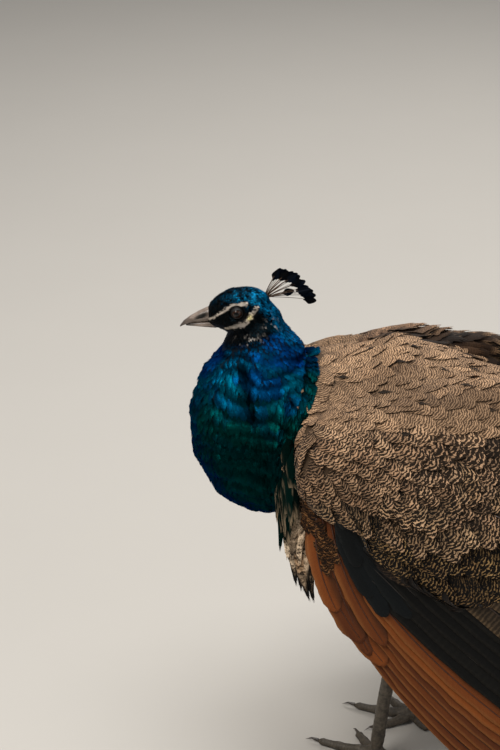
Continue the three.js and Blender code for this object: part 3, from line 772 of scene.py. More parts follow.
def eased_nape(points):
    """Draws the back of head and neck to one clean slope from the crest to the mantle."""
    flat = points[:, [0, 2]]
    best = np.full(len(points), np.inf)
    shift = np.zeros((len(points), 2))
    for start, end in zip(NAPE[:-1], NAPE[1:]):
        run = end - start
        share = np.clip((flat - start) @ run / (run @ run), 0, 1)
        gap = flat - (start + share[:, None] * run)
        out = np.array((-run[1], run[0])) / np.linalg.norm(run)
        out = out if out[0] > 0 else -out
        away = np.linalg.norm(gap, axis=1)
        nearer = away < best
        best = np.where(nearer, away, best)
        inward = mix(2.0, 4.0, smooth(486, 500, flat[:, 1])) - 2.0 * smooth(514, 526, flat[:, 1])
        wanted = np.clip(-inward - gap @ out, -8.0, 10.0 * np.exp(-((points[:, 1] / 12) ** 2)))
        shift = np.where(nearer[:, None], wanted[:, None] * out, shift)
    weight = np.exp(-((points[:, 1] / 22) ** 4)) * smooth(17, 11, best) * smooth(548, 538, points[:, 2]) * smooth(472, 480, points[:, 2])
    points[:, [0, 2]] += shift * weight[:, None]
    return points


def neck_relief(points):
    """How far the rows and the fold lift or sink the skin of neck and breast."""
    rows = neck_rows(points)
    saw = smooth(0.0, 0.7, rows) - smooth(0.82, 1.0, rows)
    on_neck = blue_share(points) * (1 - head_share(points)) * smooth(500, 485, points[:, 2])
    return on_neck * (2.4 * (saw - 0.5) - 4.5 * neck_crease(points))


def make_skin():
    """The body's one skin under the plumage, with its eye sockets; the scaled legs are made apart and joined to it
    later.
    """
    body = remeshed(merged_copies("skin", FLESH, 0.0009), 0.0032, 5)
    points = mesh_points(body)
    made = bmesh.new()
    made.from_mesh(body.data)
    made.verts.ensure_lookup_table()
    x, y, z = points.T
    furrow = (np.abs(y) > 44) & (np.abs(y) < 112) & (x > -106) & (x < 150) & (z > 424) & (z < 478)
    for _ in range(30):
        bmesh.ops.smooth_vert(made, verts=[made.verts[i] for i in np.nonzero(furrow)[0]], factor=0.5, use_axis_x=True, use_axis_y=True, use_axis_z=True)
    made.to_mesh(body.data)
    made.free()
    points = mesh_points(body)
    place_points(body, points + mesh_normals(body) * (neck_relief(points) - coat_depth(points))[:, None])
    place_points(body, eased_nape(mesh_points(body)))
    lone(body)
    bpy.ops.object.mode_set(mode="EDIT")
    bpy.ops.mesh.select_all(action="DESELECT")
    bpy.ops.object.mode_set(mode="OBJECT")
    centre = bird_to_row(EYE * np.array((1, 0, 1)))
    for face in body.data.polygons:
        at = face.center
        face.select = abs(at.x - centre[0]) < 0.034 and abs(at.z - centre[2]) < 0.03
    bpy.ops.object.mode_set(mode="EDIT")
    bpy.ops.mesh.subdivide(number_cuts=2, smoothness=0.6)
    bpy.ops.object.mode_set(mode="OBJECT")
    place_points(body, eye_socket(mesh_points(body)))
    return body


def foot_line(name):
    """The places of one foot: hub, ankle and the heading of each toe, as the solids have them."""
    feet = {
        "left": (np.array((-7.0, -41.0)), -25.0, np.array((6.0, -46.0)), LEFT),
        "right": (np.array((38.0, 30.0)), 22.0, np.array((45.0, 43.0)), RIGHT),
    }
    hub, turn, ankle, side = feet[name]
    toes = {}
    for toe, (heading, length, reach) in {
        "inner": (-42, 49, 14), "middle": (0, 72, 16), "outer": (36, 54, 14), "hind": (-150, 26, 11),
    }.items():
        angle = math.radians(heading + turn)
        toes[toe] = (np.array((-math.cos(angle), side * math.sin(angle))), length, reach)
    return hub, ankle, toes


def scale_legs(body):
    """The bare legs: the shanks' broad front scutes and the rings across each toe."""
    legs = remeshed(merged_copies("legs", LEGS, 0.0006), 0.0011, 8)
    points = mesh_points(legs)
    normals = mesh_normals(legs)
    push = np.zeros(len(points))
    shade = np.ones(len(points))
    for name in ("left", "right"):
        hub, ankle, toes = foot_line(name)
        mine = (points[:, 1] < 0) == (name == "left")
        rise = points[:, 2]
        share = np.clip(rise / 146, 0, 1)
        middle = hub + share[:, None] * (ankle - hub)
        gap = points[:, :2] - middle
        front = unit(gap) @ toes["middle"][0]
        # broad scutes down the front, small hexagons behind
        rows = rise / 6.2 + 0.35 * np.abs(unit(gap) @ np.array((-toes["middle"][0][1], toes["middle"][0][0])))
        groove = np.abs(rows - np.round(rows)) * 2
        scute = smooth(0.0, 0.28, groove) * smooth(-0.1, 0.3, front)
        pebble = value_noise(points * np.array((1, 1, 0.8)), 2.1, 23)
        back = smooth(0.35, 0.6, pebble) * smooth(0.3, -0.1, front)
        on_shank = mine & (rise > 13)
        push = np.where(on_shank, 0.45 * scute + 0.35 * back - 0.3, push)
        shade = np.where(on_shank, 0.62 + 0.45 * np.clip(scute + back, 0, 1), shade)
        for run, length, _ in toes.values():
            out = (points[:, :2] - hub) @ run
            off = np.abs((points[:, :2] - hub) @ np.array((-run[1], run[0])))
            on_toe = mine & (rise <= 13) & (out > 4) & (off < 7.5) & (out < length + 6)
            rings = out / 3.6
            groove = np.abs(rings - np.round(rings)) * 2
            top = smooth(1.5, 4.5, rise)
            joints = sum(np.exp(-(((out - length * at) / 4.0) ** 2)) for at in (0.3, 0.62, 0.92))
            push = np.where(on_toe, (0.4 * smooth(0, 0.3, groove) - 0.25) * top + 0.7 * joints * smooth(1.2, 3, rise), push)
            shade = np.where(on_toe, mix(0.5, 0.62 + 0.42 * smooth(0, 0.3, groove), top), shade)
    points = points + normals * push[:, None]
    points[:, 2] = np.maximum(points[:, 2], 0.0)
    place_points(legs, points)
    set_attribute(legs, "ground", "FLOAT_COLOR", np.concatenate([np.repeat(shade[:, None], 3, 1), np.ones((len(points), 1))], 1))
    legs.data.materials.append(LEG_SCALE)
    return legs


skin = make_skin()
outer_points = mesh_points(skin)
tone, metal, *_ = plumage(outer_points)
bare = bare_face(outer_points) * head_share(outer_points)
# painted shade: under the feathers the skin takes about a sixth of the plumage's tone, as the shade between the
# feathers; the bare face keeps its full tone
darker = mix(0.16, 1.0, bare)[:, None]
set_attribute(skin, "ground", "FLOAT_COLOR", np.concatenate([tone * darker, np.ones((len(tone), 1))], 1))
skin.data.materials.append(SKIN)
legs = scale_legs(skin)


# ---------------------------------------------------------------------------------------------
# The coat: vanes over the skin


class Body:
    """The skin as a surface to lay feathers on, in bird millimetres."""

    def __init__(self, obj):
        self.points = mesh_points(obj)
        obj.data.calc_loop_triangles()
        faces = np.empty(len(obj.data.loop_triangles) * 3, np.int32)
        obj.data.loop_triangles.foreach_get("vertices", faces)
        self.faces = faces.reshape(-1, 3)
        self.tree = BVHTree.FromPolygons([tuple(p) for p in self.points], [tuple(int(i) for i in f) for f in self.faces])
        a, b, c = (self.points[self.faces[:, i]] for i in range(3))
        cross = np.cross(b - a, c - a)
        self.areas = np.linalg.norm(cross, axis=1) / 2
        self.normals = unit(cross)
        self.vertex_normals = mesh_normals(obj)

    def candidates(self, density, rng):
        """Random places all over the surface, so many for each square millimetre."""
        count = int(self.areas.sum() * density)
        picks = rng.choice(len(self.areas), count, p=self.areas / self.areas.sum())
        s, t = np.sqrt(rng.random(count)), rng.random(count)
        weights = np.stack([1 - s, s * (1 - t), s * t], 1)
        corners = self.faces[picks]
        places = np.einsum("ij,ijk->ik", weights, self.points[corners])
        normals = unit(np.einsum("ij,ijk->ik", weights, self.vertex_normals[corners]))
        return places, normals

    def nearest(self, place):
        found = self.tree.find_nearest(Vector(place))
        return np.array(found[0]), np.array(found[1])


def spread_evenly(places, spacing):
    """Keeps places that are at least their own spacing from those kept before."""
    kept, cells = [], {}
    size = float(spacing.max())
    for i, place in enumerate(places):
        gap = spacing[i]
        key = tuple((place // size).astype(int))
        clear = True
        for dx in (-1, 0, 1):
            for dy in (-1, 0, 1):
                for dz in (-1, 0, 1):
                    for j in cells.get((key[0] + dx, key[1] + dy, key[2] + dz), ()):
                        other = places[j]
                        if (place[0] - other[0]) ** 2 + (place[1] - other[1]) ** 2 + (place[2] - other[2]) ** 2 < gap * gap:
                            clear = False
                            break
                    if not clear:
                        break
                if not clear:
                    break
            if not clear:
                break
        if clear:
            kept.append(i)
            cells.setdefault(key, []).append(i)
    return np.array(kept, int)


# The way the feathers lie: from each of these places (one side, mirrored) along its direction.
LIE = [
    # head: back from the bill, round the eye, down the throat
    ((-190, 6, 524), (0.75, 0.1, 0.7)), ((-178, 4, 535), (0.85, 0, 0.5)), ((-165, 4, 547), (1, 0, 0.1)),
    ((-150, 4, 550), (1, 0, -0.2)), ((-133, 5, 545), (0.8, 0, -0.6)), ((-175, 12, 518), (1, 0.1, 0.1)),
    ((-160, 17, 535), (1, 0, 0.1)), ((-160, 17, 513), (1, 0, -0.25)), ((-143, 18, 525), (0.9, 0, -0.4)),
    ((-176, 8, 506), (0.9, 0, -0.45)), ((-160, 10, 498), (0.8, 0, -0.6)), ((-125, 14, 515), (0.6, 0, -0.8)),
    # neck: down all round
    ((-112, 8, 512), (0.55, 0.1, -0.85)), ((-100, 12, 495), (0.45, 0.2, -0.9)), ((-140, 26, 495), (0.1, 0.3, -1)),
    ((-170, 14, 492), (-0.35, 0.2, -0.95)), ((-188, 10, 470), (-0.4, 0.1, -0.95)), ((-205, 12, 435), (-0.15, 0.1, -1)),
    ((-140, 48, 460), (0, 0.3, -1)), ((-88, 25, 465), (0.35, 0.35, -0.9)), ((-145, 66, 410), (0, 0.05, -1)),
    ((-212, 14, 400), (0.05, 0, -1)), ((-92, 60, 425), (0.25, 0.2, -0.95)), ((-140, 66, 370), (0.05, -0.1, -1)),
    ((-205, 20, 350), (0.35, -0.05, -0.95)), ((-178, 20, 316), (0.7, 0, -0.7)), ((-120, 62, 330), (0.3, -0.1, -0.95)),
    ((-140, 12, 292), (0.85, 0, -0.5)), ((-95, 95, 310), (0.25, 0, -0.97)), ((-90, 100, 260), (0.35, 0, -0.94)),
    # mantle and back
    ((-100, 8, 492), (0.6, 0.05, -0.8)), ((-96, 25, 478), (0.45, 0.3, -0.8)), ((-98, 50, 452), (0.3, 0.35, -0.87)),
    ((-104, 68, 428), (0.2, 0.2, -0.95)), ((-114, 72, 400), (0.15, 0.05, -1)), ((-118, 72, 360), (0.25, 0, -0.97)),
    ((-90, 10, 484), (0.25, 0.3, -0.92)), ((-88, 35, 470), (0.1, 0.3, -0.95)), ((-92, 60, 450), (0.05, 0.25, -0.97)),
    ((-80, 12, 478), (0.2, 0.4, -0.9)), ((-80, 32, 468), (0.05, 0.35, -0.94)), ((-84, 56, 454), (0.05, 0.25, -0.97)),
    ((-64, 15, 474), (0.85, 0.15, -0.35)), ((-64, 45, 460), (0.72, 0.4, -0.5)), ((-72, 76, 440), (0.55, 0.35, -0.75)),
    ((-50, 30, 478), (0.95, 0.15, -0.1)), ((-48, 70, 455), (0.85, 0.3, -0.4)), ((-30, 20, 482), (1, 0.1, 0.05)),
    ((30, 25, 486), (1, 0.05, 0)), ((100, 25, 470), (1, 0, -0.15)), ((170, 18, 440), (1, 0, -0.3)), ((235, 10, 400), (1, 0, -0.3)),
    # scapulars and wing coverts
    ((-85, 92, 415), (0.42, 0.2, -0.88)), ((-65, 98, 425), (0.62, 0.15, -0.75)), ((-20, 90, 455), (0.9, 0.15, -0.35)), ((60, 95, 465), (0.97, 0.05, -0.2)),
    ((150, 98, 420), (0.95, 0, -0.3)), ((250, 96, 300), (0.85, 0, -0.5)), ((-90, 108, 385), (0.35, 0.05, -0.93)),
    ((-75, 120, 350), (0.5, 0.05, -0.85)), ((-30, 125, 385), (0.75, 0.1, -0.65)), ((-20, 130, 335), (0.7, 0.02, -0.72)),
    ((50, 130, 390), (0.88, 0.05, -0.45)), ((50, 133, 300), (0.8, 0, -0.6)), ((130, 125, 370), (0.92, 0, -0.4)),
    ((140, 120, 280), (0.85, 0, -0.5)), ((210, 105, 300), (0.85, 0, -0.5)), ((110, 105, 250), (0.85, 0, -0.5)),
    # belly, flanks, thighs and under the tail
    ((-60, 30, 250), (0.95, 0, -0.25)), ((0, 20, 222), (1, 0, -0.05)), ((0, 90, 260), (0.8, 0, -0.55)),
    ((80, 60, 240), (0.95, 0, 0.15)), ((170, 40, 315), (0.9, 0, 0.3)), ((0, 50, 200), (0.25, 0, -0.97)),
    ((-25, 50, 190), (0.15, 0, -1)), ((15, 50, 165), (0.1, 0, -1)), ((235, 15, 368), (1, 0, -0.1)),
]
LIE_PLACES = np.array([place for place, _ in LIE] + [(x, -y, z) for (x, y, z), _ in LIE], float)
LIE_WAYS = unit(np.array([way for _, way in LIE] + [(x, -y, z) for _, (x, y, z) in LIE], float))


def lie(points):
    """The blended direction of the coat at each place."""
    gaps = np.linalg.norm(points[:, None] - LIE_PLACES[None], axis=2)
    weights = 1 / (gaps + 3) ** 3.5
    return unit(np.einsum("ij,jk->ik", weights, LIE_WAYS))


def vane_grid(rows, columns, round_tip=0.35, root=0.45, swell=0.3, tip=0.8, fray=0.0, fingers=False):
    """One vane's pattern: (across -1..1, along 0..1) for each point, and its faces.

    With fingers the last row is split into separate points, as loose barbs are.
    """
    spots, faces = [], []

    def width(f):
        return root + (1 - root) * smooth(0, swell, f) - (1 - tip) * smooth(0.6, 1.0, f)

    for r in range(rows + 1):
        f = r / rows
        for c in range(columns + 1):
            u = 2 * c / columns - 1
            spots.append((u * width(f), f * (1 - round_tip * u * u * (0.3 + 0.7 * f))))
    last = rows if not fingers else rows - 1
    for r in range(last):
        for c in range(columns):
            a = r * (columns + 1) + c
            faces.append((a, a + 1, a + columns + 2, a + columns + 1))
    if fingers:
        base = (rows - 1) * (columns + 1)
        for c in range(columns):
            u = (2 * (c + 0.5) / columns - 1) * 1.04
            reach = 1 - round_tip * u * u * 0.9
            spots.append((u * tip, reach))
            faces.append((base + c, base + c + 1, len(spots) - 1, len(spots) - 1))
        spots = np.array(spots)
        keep = np.ones(len(spots), bool)
        keep[rows * (columns + 1) : (rows + 1) * (columns + 1)] = False
        order = np.cumsum(keep) - 1
        faces = [tuple(dict.fromkeys(order[i] for i in face)) for face in faces]
        spots = spots[keep]
    return np.array(spots, float), faces


class Coat:
    """Gathers vanes and joins them into one piece."""

    def __init__(self, name, material, slot):
        self.name, self.material, self.slot = name, material, slot
        self.points, self.faces, self.sizes, self.total = [], [], [], 0
        self.ground, self.mark, self.place, self.law, self.patch = [], [], [], [], []

    def lay(self, spines, sides, ups, pattern, width, tones, metals, marks, strengths, laws, roots, cup=0.12, numbers=None):
        """Adds one vane of a pattern along each spine.

        spines: (vanes, steps, 3); sides and ups: the across and outward ways at each step.
        """
        spots, faces = pattern
        vanes, steps = spines.shape[:2]
        at = np.clip(spots[:, 1], 0, 1) * (steps - 1)
        low = np.minimum(at.astype(int), steps - 2)
        part = (at - low)[None, :, None]
        along = spines[:, low] * (1 - part) + spines[:, low + 1] * part
        across = sides[:, low] * (1 - part) + sides[:, low + 1] * part
        up = ups[:, low] * (1 - part) + ups[:, low + 1] * part
        half = width[:, None, None] * spots[None, :, :1]
        points = along + across * half - up * (cup * width[:, None, None] * spots[None, :, :1] ** 2)
        lengths = np.linalg.norm(np.diff(spines, axis=1), axis=2).sum(1)
        numbers = GROWTH.random(vanes) if numbers is None else numbers
        place = np.stack([np.broadcast_to(half[..., 0], points.shape[:2]), spots[None, :, 1] * lengths[:, None] + lengths[:, None] * 0.0
                          + 0.85 * half[..., 0] ** 2 / np.maximum(width[:, None], 1e-6), np.broadcast_to(numbers[:, None], points.shape[:2])], 2)
        patch = skin_unwrap(roots)[:, None, :] + np.stack([spots[:, 0] * 0.0015, (spots[:, 1] - 0.5) * 0.003], 1)[None]
        each = len(spots)

        def per_point(values):
            values = np.asarray(values, float)
            if values.ndim == 2:
                values = np.repeat(values[:, None], each, 1)
            return values.reshape(-1, values.shape[-1])

        self.points.append(points.reshape(-1, 3))
        offsets = self.total + each * np.arange(vanes)
        for face in faces:
            self.faces.append((np.array(face)[None] + offsets[:, None]))
        self.total += each * vanes
        if np.ndim(tones) == 2:
            tones = np.repeat(np.asarray(tones)[:, None], each, 1)
        metal = np.repeat(np.asarray(metals, float)[:, None], each, 1)[..., None]
        self.ground.append(np.concatenate([tones, metal], 2).reshape(-1, 4))
        self.mark.append(per_point(np.concatenate([marks, np.asarray(strengths, float)[:, None]], 1)))
        self.place.append(place.reshape(-1, 3))
        self.law.append(per_point(laws))
        self.patch.append(patch.reshape(-1, 2))
        return points

    def finish(self, *nodes):
        quads = [f for f in self.faces if f.shape[1] == 4]
        tris = [f for f in self.faces if f.shape[1] == 3]
        corners = ([np.concatenate(quads).ravel()] if quads else []) + ([np.concatenate(tris).ravel()] if tris else [])
        sizes = np.concatenate(([4] * 0, np.full(sum(len(f) for f in quads), 4), np.full(sum(len(f) for f in tris), 3))).astype(int)
        corners = np.concatenate(corners)
        mesh = bpy.data.meshes.new(self.name)
        points = bird_to_row(np.concatenate(self.points))
        mesh.vertices.add(len(points))
        mesh.vertices.foreach_set("co", points.astype(np.float32).ravel())
        mesh.loops.add(len(corners))
        mesh.loops.foreach_set("vertex_index", corners.astype(np.int32))
        mesh.polygons.add(len(sizes))
        mesh.polygons.foreach_set("loop_start", np.concatenate(([0], np.cumsum(sizes)[:-1])).astype(np.int32))
        mesh.polygons.foreach_set("use_smooth", np.ones(len(sizes), bool))
        mesh.update(calc_edges=True)
        obj = bpy.data.objects.new(self.name, mesh)
        bpy.context.collection.objects.link(obj)
        mesh.materials.append(self.material)
        set_attribute(obj, "ground", "FLOAT_COLOR", np.concatenate(self.ground))
        set_attribute(obj, "mark", "FLOAT_COLOR", np.concatenate(self.mark))
        set_attribute(obj, "vane_place", "FLOAT_VECTOR", np.concatenate(self.place))
        set_attribute(obj, "vane_law", "FLOAT_VECTOR", np.concatenate(self.law))
        set_uv(obj, "OFBake", np.concatenate(self.patch))
        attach(obj, "root")
        if nodes:
            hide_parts(*nodes)
        print(self.name, sum(sizes - 2), "triangles")
        return obj


def trail(body, places, ways, lengths, steps, sink, lift, curl=0.0, fall=0.0):
    """Walks each vane's spine over the skin along the lie of the coat.

    The root is sunk by sink mm, and the spine rises to lift mm over the skin at the tip.
    """
    vanes = len(places)
    spines = np.empty((vanes, steps, 3))
    sides = np.empty_like(spines)
    ups = np.empty_like(spines)
    at = places.copy()
    for s in range(steps):
        share = s / (steps - 1)
        normals = np.empty_like(at)
        for i in range(vanes):
            at[i], normals[i] = body.nearest(at[i])
        flow = mix(lie(at), ways, 0.55)
        flow = flow + np.array((0, 0, -fall * share))
        flow = unit(flow - normals * np.einsum("ij,ij->i", flow, normals)[:, None])
        height = -np.broadcast_to(sink, (vanes,)) + (np.broadcast_to(lift, (vanes,)) + sink) * share**0.8 + curl * share**3
        spines[:, s] = at + normals * height[:, None]
        sides[:, s] = np.cross(normals, flow)
        ups[:, s] = normals
        if s < steps - 1:
            at = at + flow * (lengths / (steps - 1))[:, None]
    # the outward ways are brought to unit length
    ups = unit(ups)
    return spines, unit(sides), ups


body = Body(skin)


def sow(mask, spacing, rng, density=None):
    """Evenly spread roots over the part of the skin where mask(points) is true."""
    closest = float(np.min(spacing(body.points[::7])))
    places, normals = body.candidates((density or 5.0) / closest**2, rng)
    keep = mask(places, normals)
    places, normals = places[keep], normals[keep]
    chosen = spread_evenly(places, spacing(places))
    return places[chosen], normals[chosen]


def constant(value):
    return lambda points: np.full(len(points), float(value))


def laid(coat, places, length, width, pattern, steps, sink, lift, shade=0.16, turn=0.12, rng=None, cup=0.12, curl=0.0, plume=plumage, fall=0.0,
         tract=None, ways=None, rim=None, deep=0.45):
    """Lays one vane at each place, with the plumage's markings there."""
    rng = rng or GROWTH
    vanes = len(places)
    ways = (lie(places) if ways is None else ways) + rng.normal(0, turn, (vanes, 3))
    lengths = length * (1 + rng.normal(0, 0.09, vanes))
    widths = width * (1 + rng.normal(0, 0.08, vanes))
    spines, sides, ups = trail(body, places, ways, lengths, steps, sink, lift, curl, fall)
    tips = spines[:, -1] * 0.6 + spines[:, 0] * 0.4
    tone, metal, bar, strength, law = plume(tips, tract)
    tone = tone * (1 + rng.normal(0, shade, (vanes, 1)))
    # painted shade: each vane darkens into its root, where the ones before it cover it; deep sets how dark the root is
    # painted
    root_shade = deep + (1 - deep) * smooth(0.1, 0.62 if deep > 0.4 else 0.85, pattern[0][:, 1])
    tones = tone[:, None] * root_shade[None, :, None]
    if rim is not None:
        edge = smooth(0.72, 0.95, np.maximum(np.abs(pattern[0][:, 0]), pattern[0][:, 1])) * smooth(0.3, 0.6, pattern[0][:, 1])
        tones = mix(tones, rim[0], rim[1] * edge[None, :, None])
    coat.lay(spines, sides, ups, pattern, widths / 2, np.clip(tones, 0, 1), metal, bar, strength, law, places, cup)
    return len(places)


def wing_surface(side, flat, height):
    """The folded wing's outer surface over (x, z), as the solids have it, raised by height."""
    x, z = flat[..., 0], flat[..., 1]
    below = np.maximum(0, 345 - z)
    behind = np.maximum(0, x - 90)
    before = np.maximum(0, -55 - x)
    out = 114 + 0.12 * below + 0.0003 * below**2 - 0.0007 * behind**2 - 0.008 * before**2 + height
    return np.stack([x, side * out, z], -1)


REGIONS = ["head", "neck", "mantle", "left coverts", "right coverts", "underparts", "rump"]


def region(p):
    """Which tract of plumage each place belongs to, as a place in REGIONS."""
    x, y, z = p.T
    which = np.full(len(p), 5)
    wing = (np.abs(y) >= 90 - 0.25 * np.maximum(0, x - 150) - 16 * smooth(-70, -90, x)) & (x > -114) & (z > 232)
    which[(z > 372) & (np.abs(y) < 95)] = 2
    which[(z > 430)] = 2
    which[wing & (z <= 434) & (y < 0)] = 3
    which[wing & (z <= 434) & (y >= 0)] = 4
    which[(which == 2) & (x >= 168)] = 6
    which[(which == 5) & (z > 340) & (x > 150)] = 6
    which[blue_share(p) > 0.5] = 1
    which[head_share(p) > 0.5] = 0
    return which


def tract(name):
    number = REGIONS.index(name)
    return lambda p, n: region(p) == number


def lay_head():
    rng = np.random.default_rng(3)
    coat = Coat("head_plumage", HEAD_VANE, "blue_feather")

    def mask(p, n):
        eye = np.hypot(p[:, 0] - EYE[0], (p[:, 2] - EYE[2]) * 1.12)
        off_eye = (eye > 8.2) | (np.abs(p[:, 1]) < 4)
        feathered = bare_face(p) < 0.35 + 0.5 * rng.random(len(p)) ** 3
        return (region(p) == 0) & off_eye & (p[:, 0] > -187 + 0.3 * np.maximum(0, 520 - p[:, 2])) & feathered

    places, _ = sow(mask, constant(1.45), rng)
    size = mix(0.85, 1.25, smooth(-165, -125, places[:, 0]))
    laid(coat, places, 3.7 * size, 2.2 * size, vane_grid(3, 2, 0.3, 0.6, 0.3, 0.62), 3, 0.3, 0.9, shade=0.45, turn=0.12, rng=rng, cup=0.25, tract="head")
    return coat.finish()


def lay_neck():
    rng = np.random.default_rng(5)
    pattern = vane_grid(4, 6, 0.5, 0.5, 0.35, 0.95, fingers=True)
    for name, low, high in (("neck_plumage", 425, 999), ("breast_plumage", 0, 425)):
        coat = Coat(name, BLUE_VANE, "blue_feather")

        def mask(p, n):
            return (region(p) == 1) & (p[:, 2] >= low) & (p[:, 2] < high)

        def spacing(p):
            return mix(3.9, 2.4, smooth(462, 506, p[:, 2]))

        places, _ = sow(mask, spacing, rng, 2.2 if low else 4.0)
        size = mix(1.0, 0.38, smooth(458, 506, places[:, 2]))
        rows = neck_rows(places + lie(places) * 11)
        lift = (2.0 + 1.6 * np.exp(-(((rows - 0.78) / 0.2) ** 2))) * mix(0.2, 1, size)
        border = smooth(-20, -6, places[:, 0] - mantle_line(places[:, 2]))
        border = border * smooth(436, 456, places[:, 2])
        lift, length = lift * (1 - 0.5 * border), 21 * size * (1 - 0.25 * border)
        down = np.stack([np.full(len(places), -0.1), 0.4 * np.sign(places[:, 1]), np.full(len(places), -0.9)], 1)
        laid(coat, places, 0.9 * length, 8.4 * size, pattern, 5, 0.5, 0.85 * lift,
             shade=0.09, turn=0.07, rng=rng, cup=0.2, tract="neck", ways=lie(places) + 4 * border[:, None] * down)
        if low:
            # the last ones hang over the mantle's edge
            edge, _ = sow(lambda p, n: (region(p) == 1) & (p[:, 0] > mantle_line(p[:, 2]) - 9) & (p[:, 2] > 416), constant(3.2), rng)
            over = np.stack([np.full(len(edge), 0.16), 0.35 * np.sign(edge[:, 1]), np.full(len(edge), -0.92)], 1)
            laid(coat, edge, 15, 6.5, pattern, 5, -1.6, 4.8, shade=0.1, turn=0.08, rng=rng, cup=0.2, tract="neck", ways=4 * over)
        coat.finish()


def lay_mantle():
    rng = np.random.default_rng(7)
    coat = Coat("mantle_plumage", BARRED_VANE, "barred_feather")
    places, _ = sow(lambda p, n: (region(p) == 2) & ~far_rim(p), lambda p: mix(7.0, 10.5, smooth(12, 45, p[:, 0] - mantle_line(p[:, 2]))), rng)
    laid(coat, places, 38, 27, vane_grid(8, 8, 0.6, 0.5, 0.4, 0.8), 7, 0.7, 3.4 + 1.6 * rng.random(len(places)), shade=0.12, turn=0.14, rng=rng, cup=0.2,
         tract="mantle")
    # dark partings: near-black vanes painted as the shade in the gaps where the mantle's feathers part
    places, _ = sow(lambda p, n: (region(p) == 2) & ~far_rim(p) & (p[:, 0] > -60) & (p[:, 0] < 150), constant(33), rng)
    ways = unit(np.stack([np.full(len(places), 0.9), 0.35 * np.sign(places[:, 1]), np.full(len(places), 0.3)], 1))
    laid(coat, places, 16, 3.6, vane_grid(6, 4, 0.5, 0.2, 0.5, 0.25), 6, -2.2, 4.2, shade=0.2, turn=0.2, rng=rng, cup=-0.3, plume=parting_shade, ways=ways * 3)
    # those that come out from under the neck
    places, _ = sow(lambda p, n: (region(p) == 1) & (p[:, 0] > mantle_line(p[:, 2]) - 4) & (p[:, 2] > 425), constant(5.5), rng)
    ways = unit(np.stack([np.full(len(places), 0.85), 0.25 * np.sign(places[:, 1]), -0.25 - 0.6 * smooth(470, 440, places[:, 2])], 1))
    laid(coat, places, 26, 17, vane_grid(6, 4, 0.5, 0.5, 0.4, 0.82), 6, 1.5, 2.6, shade=0.12, turn=0.1, rng=rng, cup=0.22, tract="mantle", ways=ways * 4)
    # more over the furrow between shoulder and back
    places, _ = sow(lambda p, n: (np.abs(p[:, 1]) > 58) & (p[:, 0] > mantle_line(p[:, 2]) + 6) & (p[:, 0] < -44) & (p[:, 2] > 432) & (region(p) == 2), constant(6.0), rng)
    ways = unit(np.stack([np.full(len(places), 0.8), 0.25 * np.sign(places[:, 1]), np.full(len(places), -0.55)], 1))
    laid(coat, places, 30, 19, vane_grid(6, 6, 0.5, 0.5, 0.4, 0.82), 6, -1.5, 5.2, shade=0.12, turn=0.1, rng=rng, cup=0.22, tract="mantle", ways=ways * 3)
    coat.finish()


def lay_coverts():
    for name in ("left", "right"):
        rng = np.random.default_rng(9)
        coat = Coat(f"lesser_coverts_{name}", BARRED_VANE, "barred_feather")
        ours = tract(f"{name} coverts")
        places, _ = sow(lambda p, n: ours(p, n) & (p[:, 2] > row_line(p[:, 0])), lambda p: mix(8.0, 12.5, smooth(-60, 80, p[:, 0])), rng)
        far = smooth(-60, 80, places[:, 0])
        laid(coat, places, mix(27, 42, far), mix(18, 31, far), vane_grid(8, 8, 0.6, 0.5, 0.4, 0.82), 7, 0.7, mix(3.2, 4.2, far) + 1.2 * rng.random(len(places)),
             shade=0.14, turn=0.12, rng=rng, cup=0.2, tract="coverts", deep=0.4)
        coat.finish()


def far_rim(p):
    """The loose brown shoulder feathers that stand above the back on the far side."""
    x, y, z = p.T
    return (y > 30 + 0.16 * np.abs(x - 75)) & (x > -12) & (x < 185) & (z > 425)


def shoulder_plume(points, tract=None):
    tone, metal, bar, strength, law = plumage(points, "mantle")
    deep = value_noise(points, 12, 27)[:, None]
    # painted shadow: plumes nearer the middle of the back are near black, as the shade of the valley under the
    # shoulder; those further out are buff-brown
    rim = smooth(56, 72, points[:, 1])[:, None]
    tone = mix(mix(colour("0e0906"), colour("3c2919"), deep**1.5), mix(colour("8a684c"), colour("bc9676"), deep), rim)
    strength = mix(0.3, 0.8, rim[:, 0])
    return tone, metal, mix(bar, colour("120c08"), 0.7), strength, law


def parting_shade(points, tract=None):
    """Near-black vanes, painted as the shade that shows where the mantle's feathers part."""
    tone, metal, bar, strength, law = plumage(points, "mantle")
    tone = mix(colour("120d09"), colour("33261a"), value_noise(points, 12, 27)[:, None])
    return tone, metal, bar, np.zeros(len(points)), law


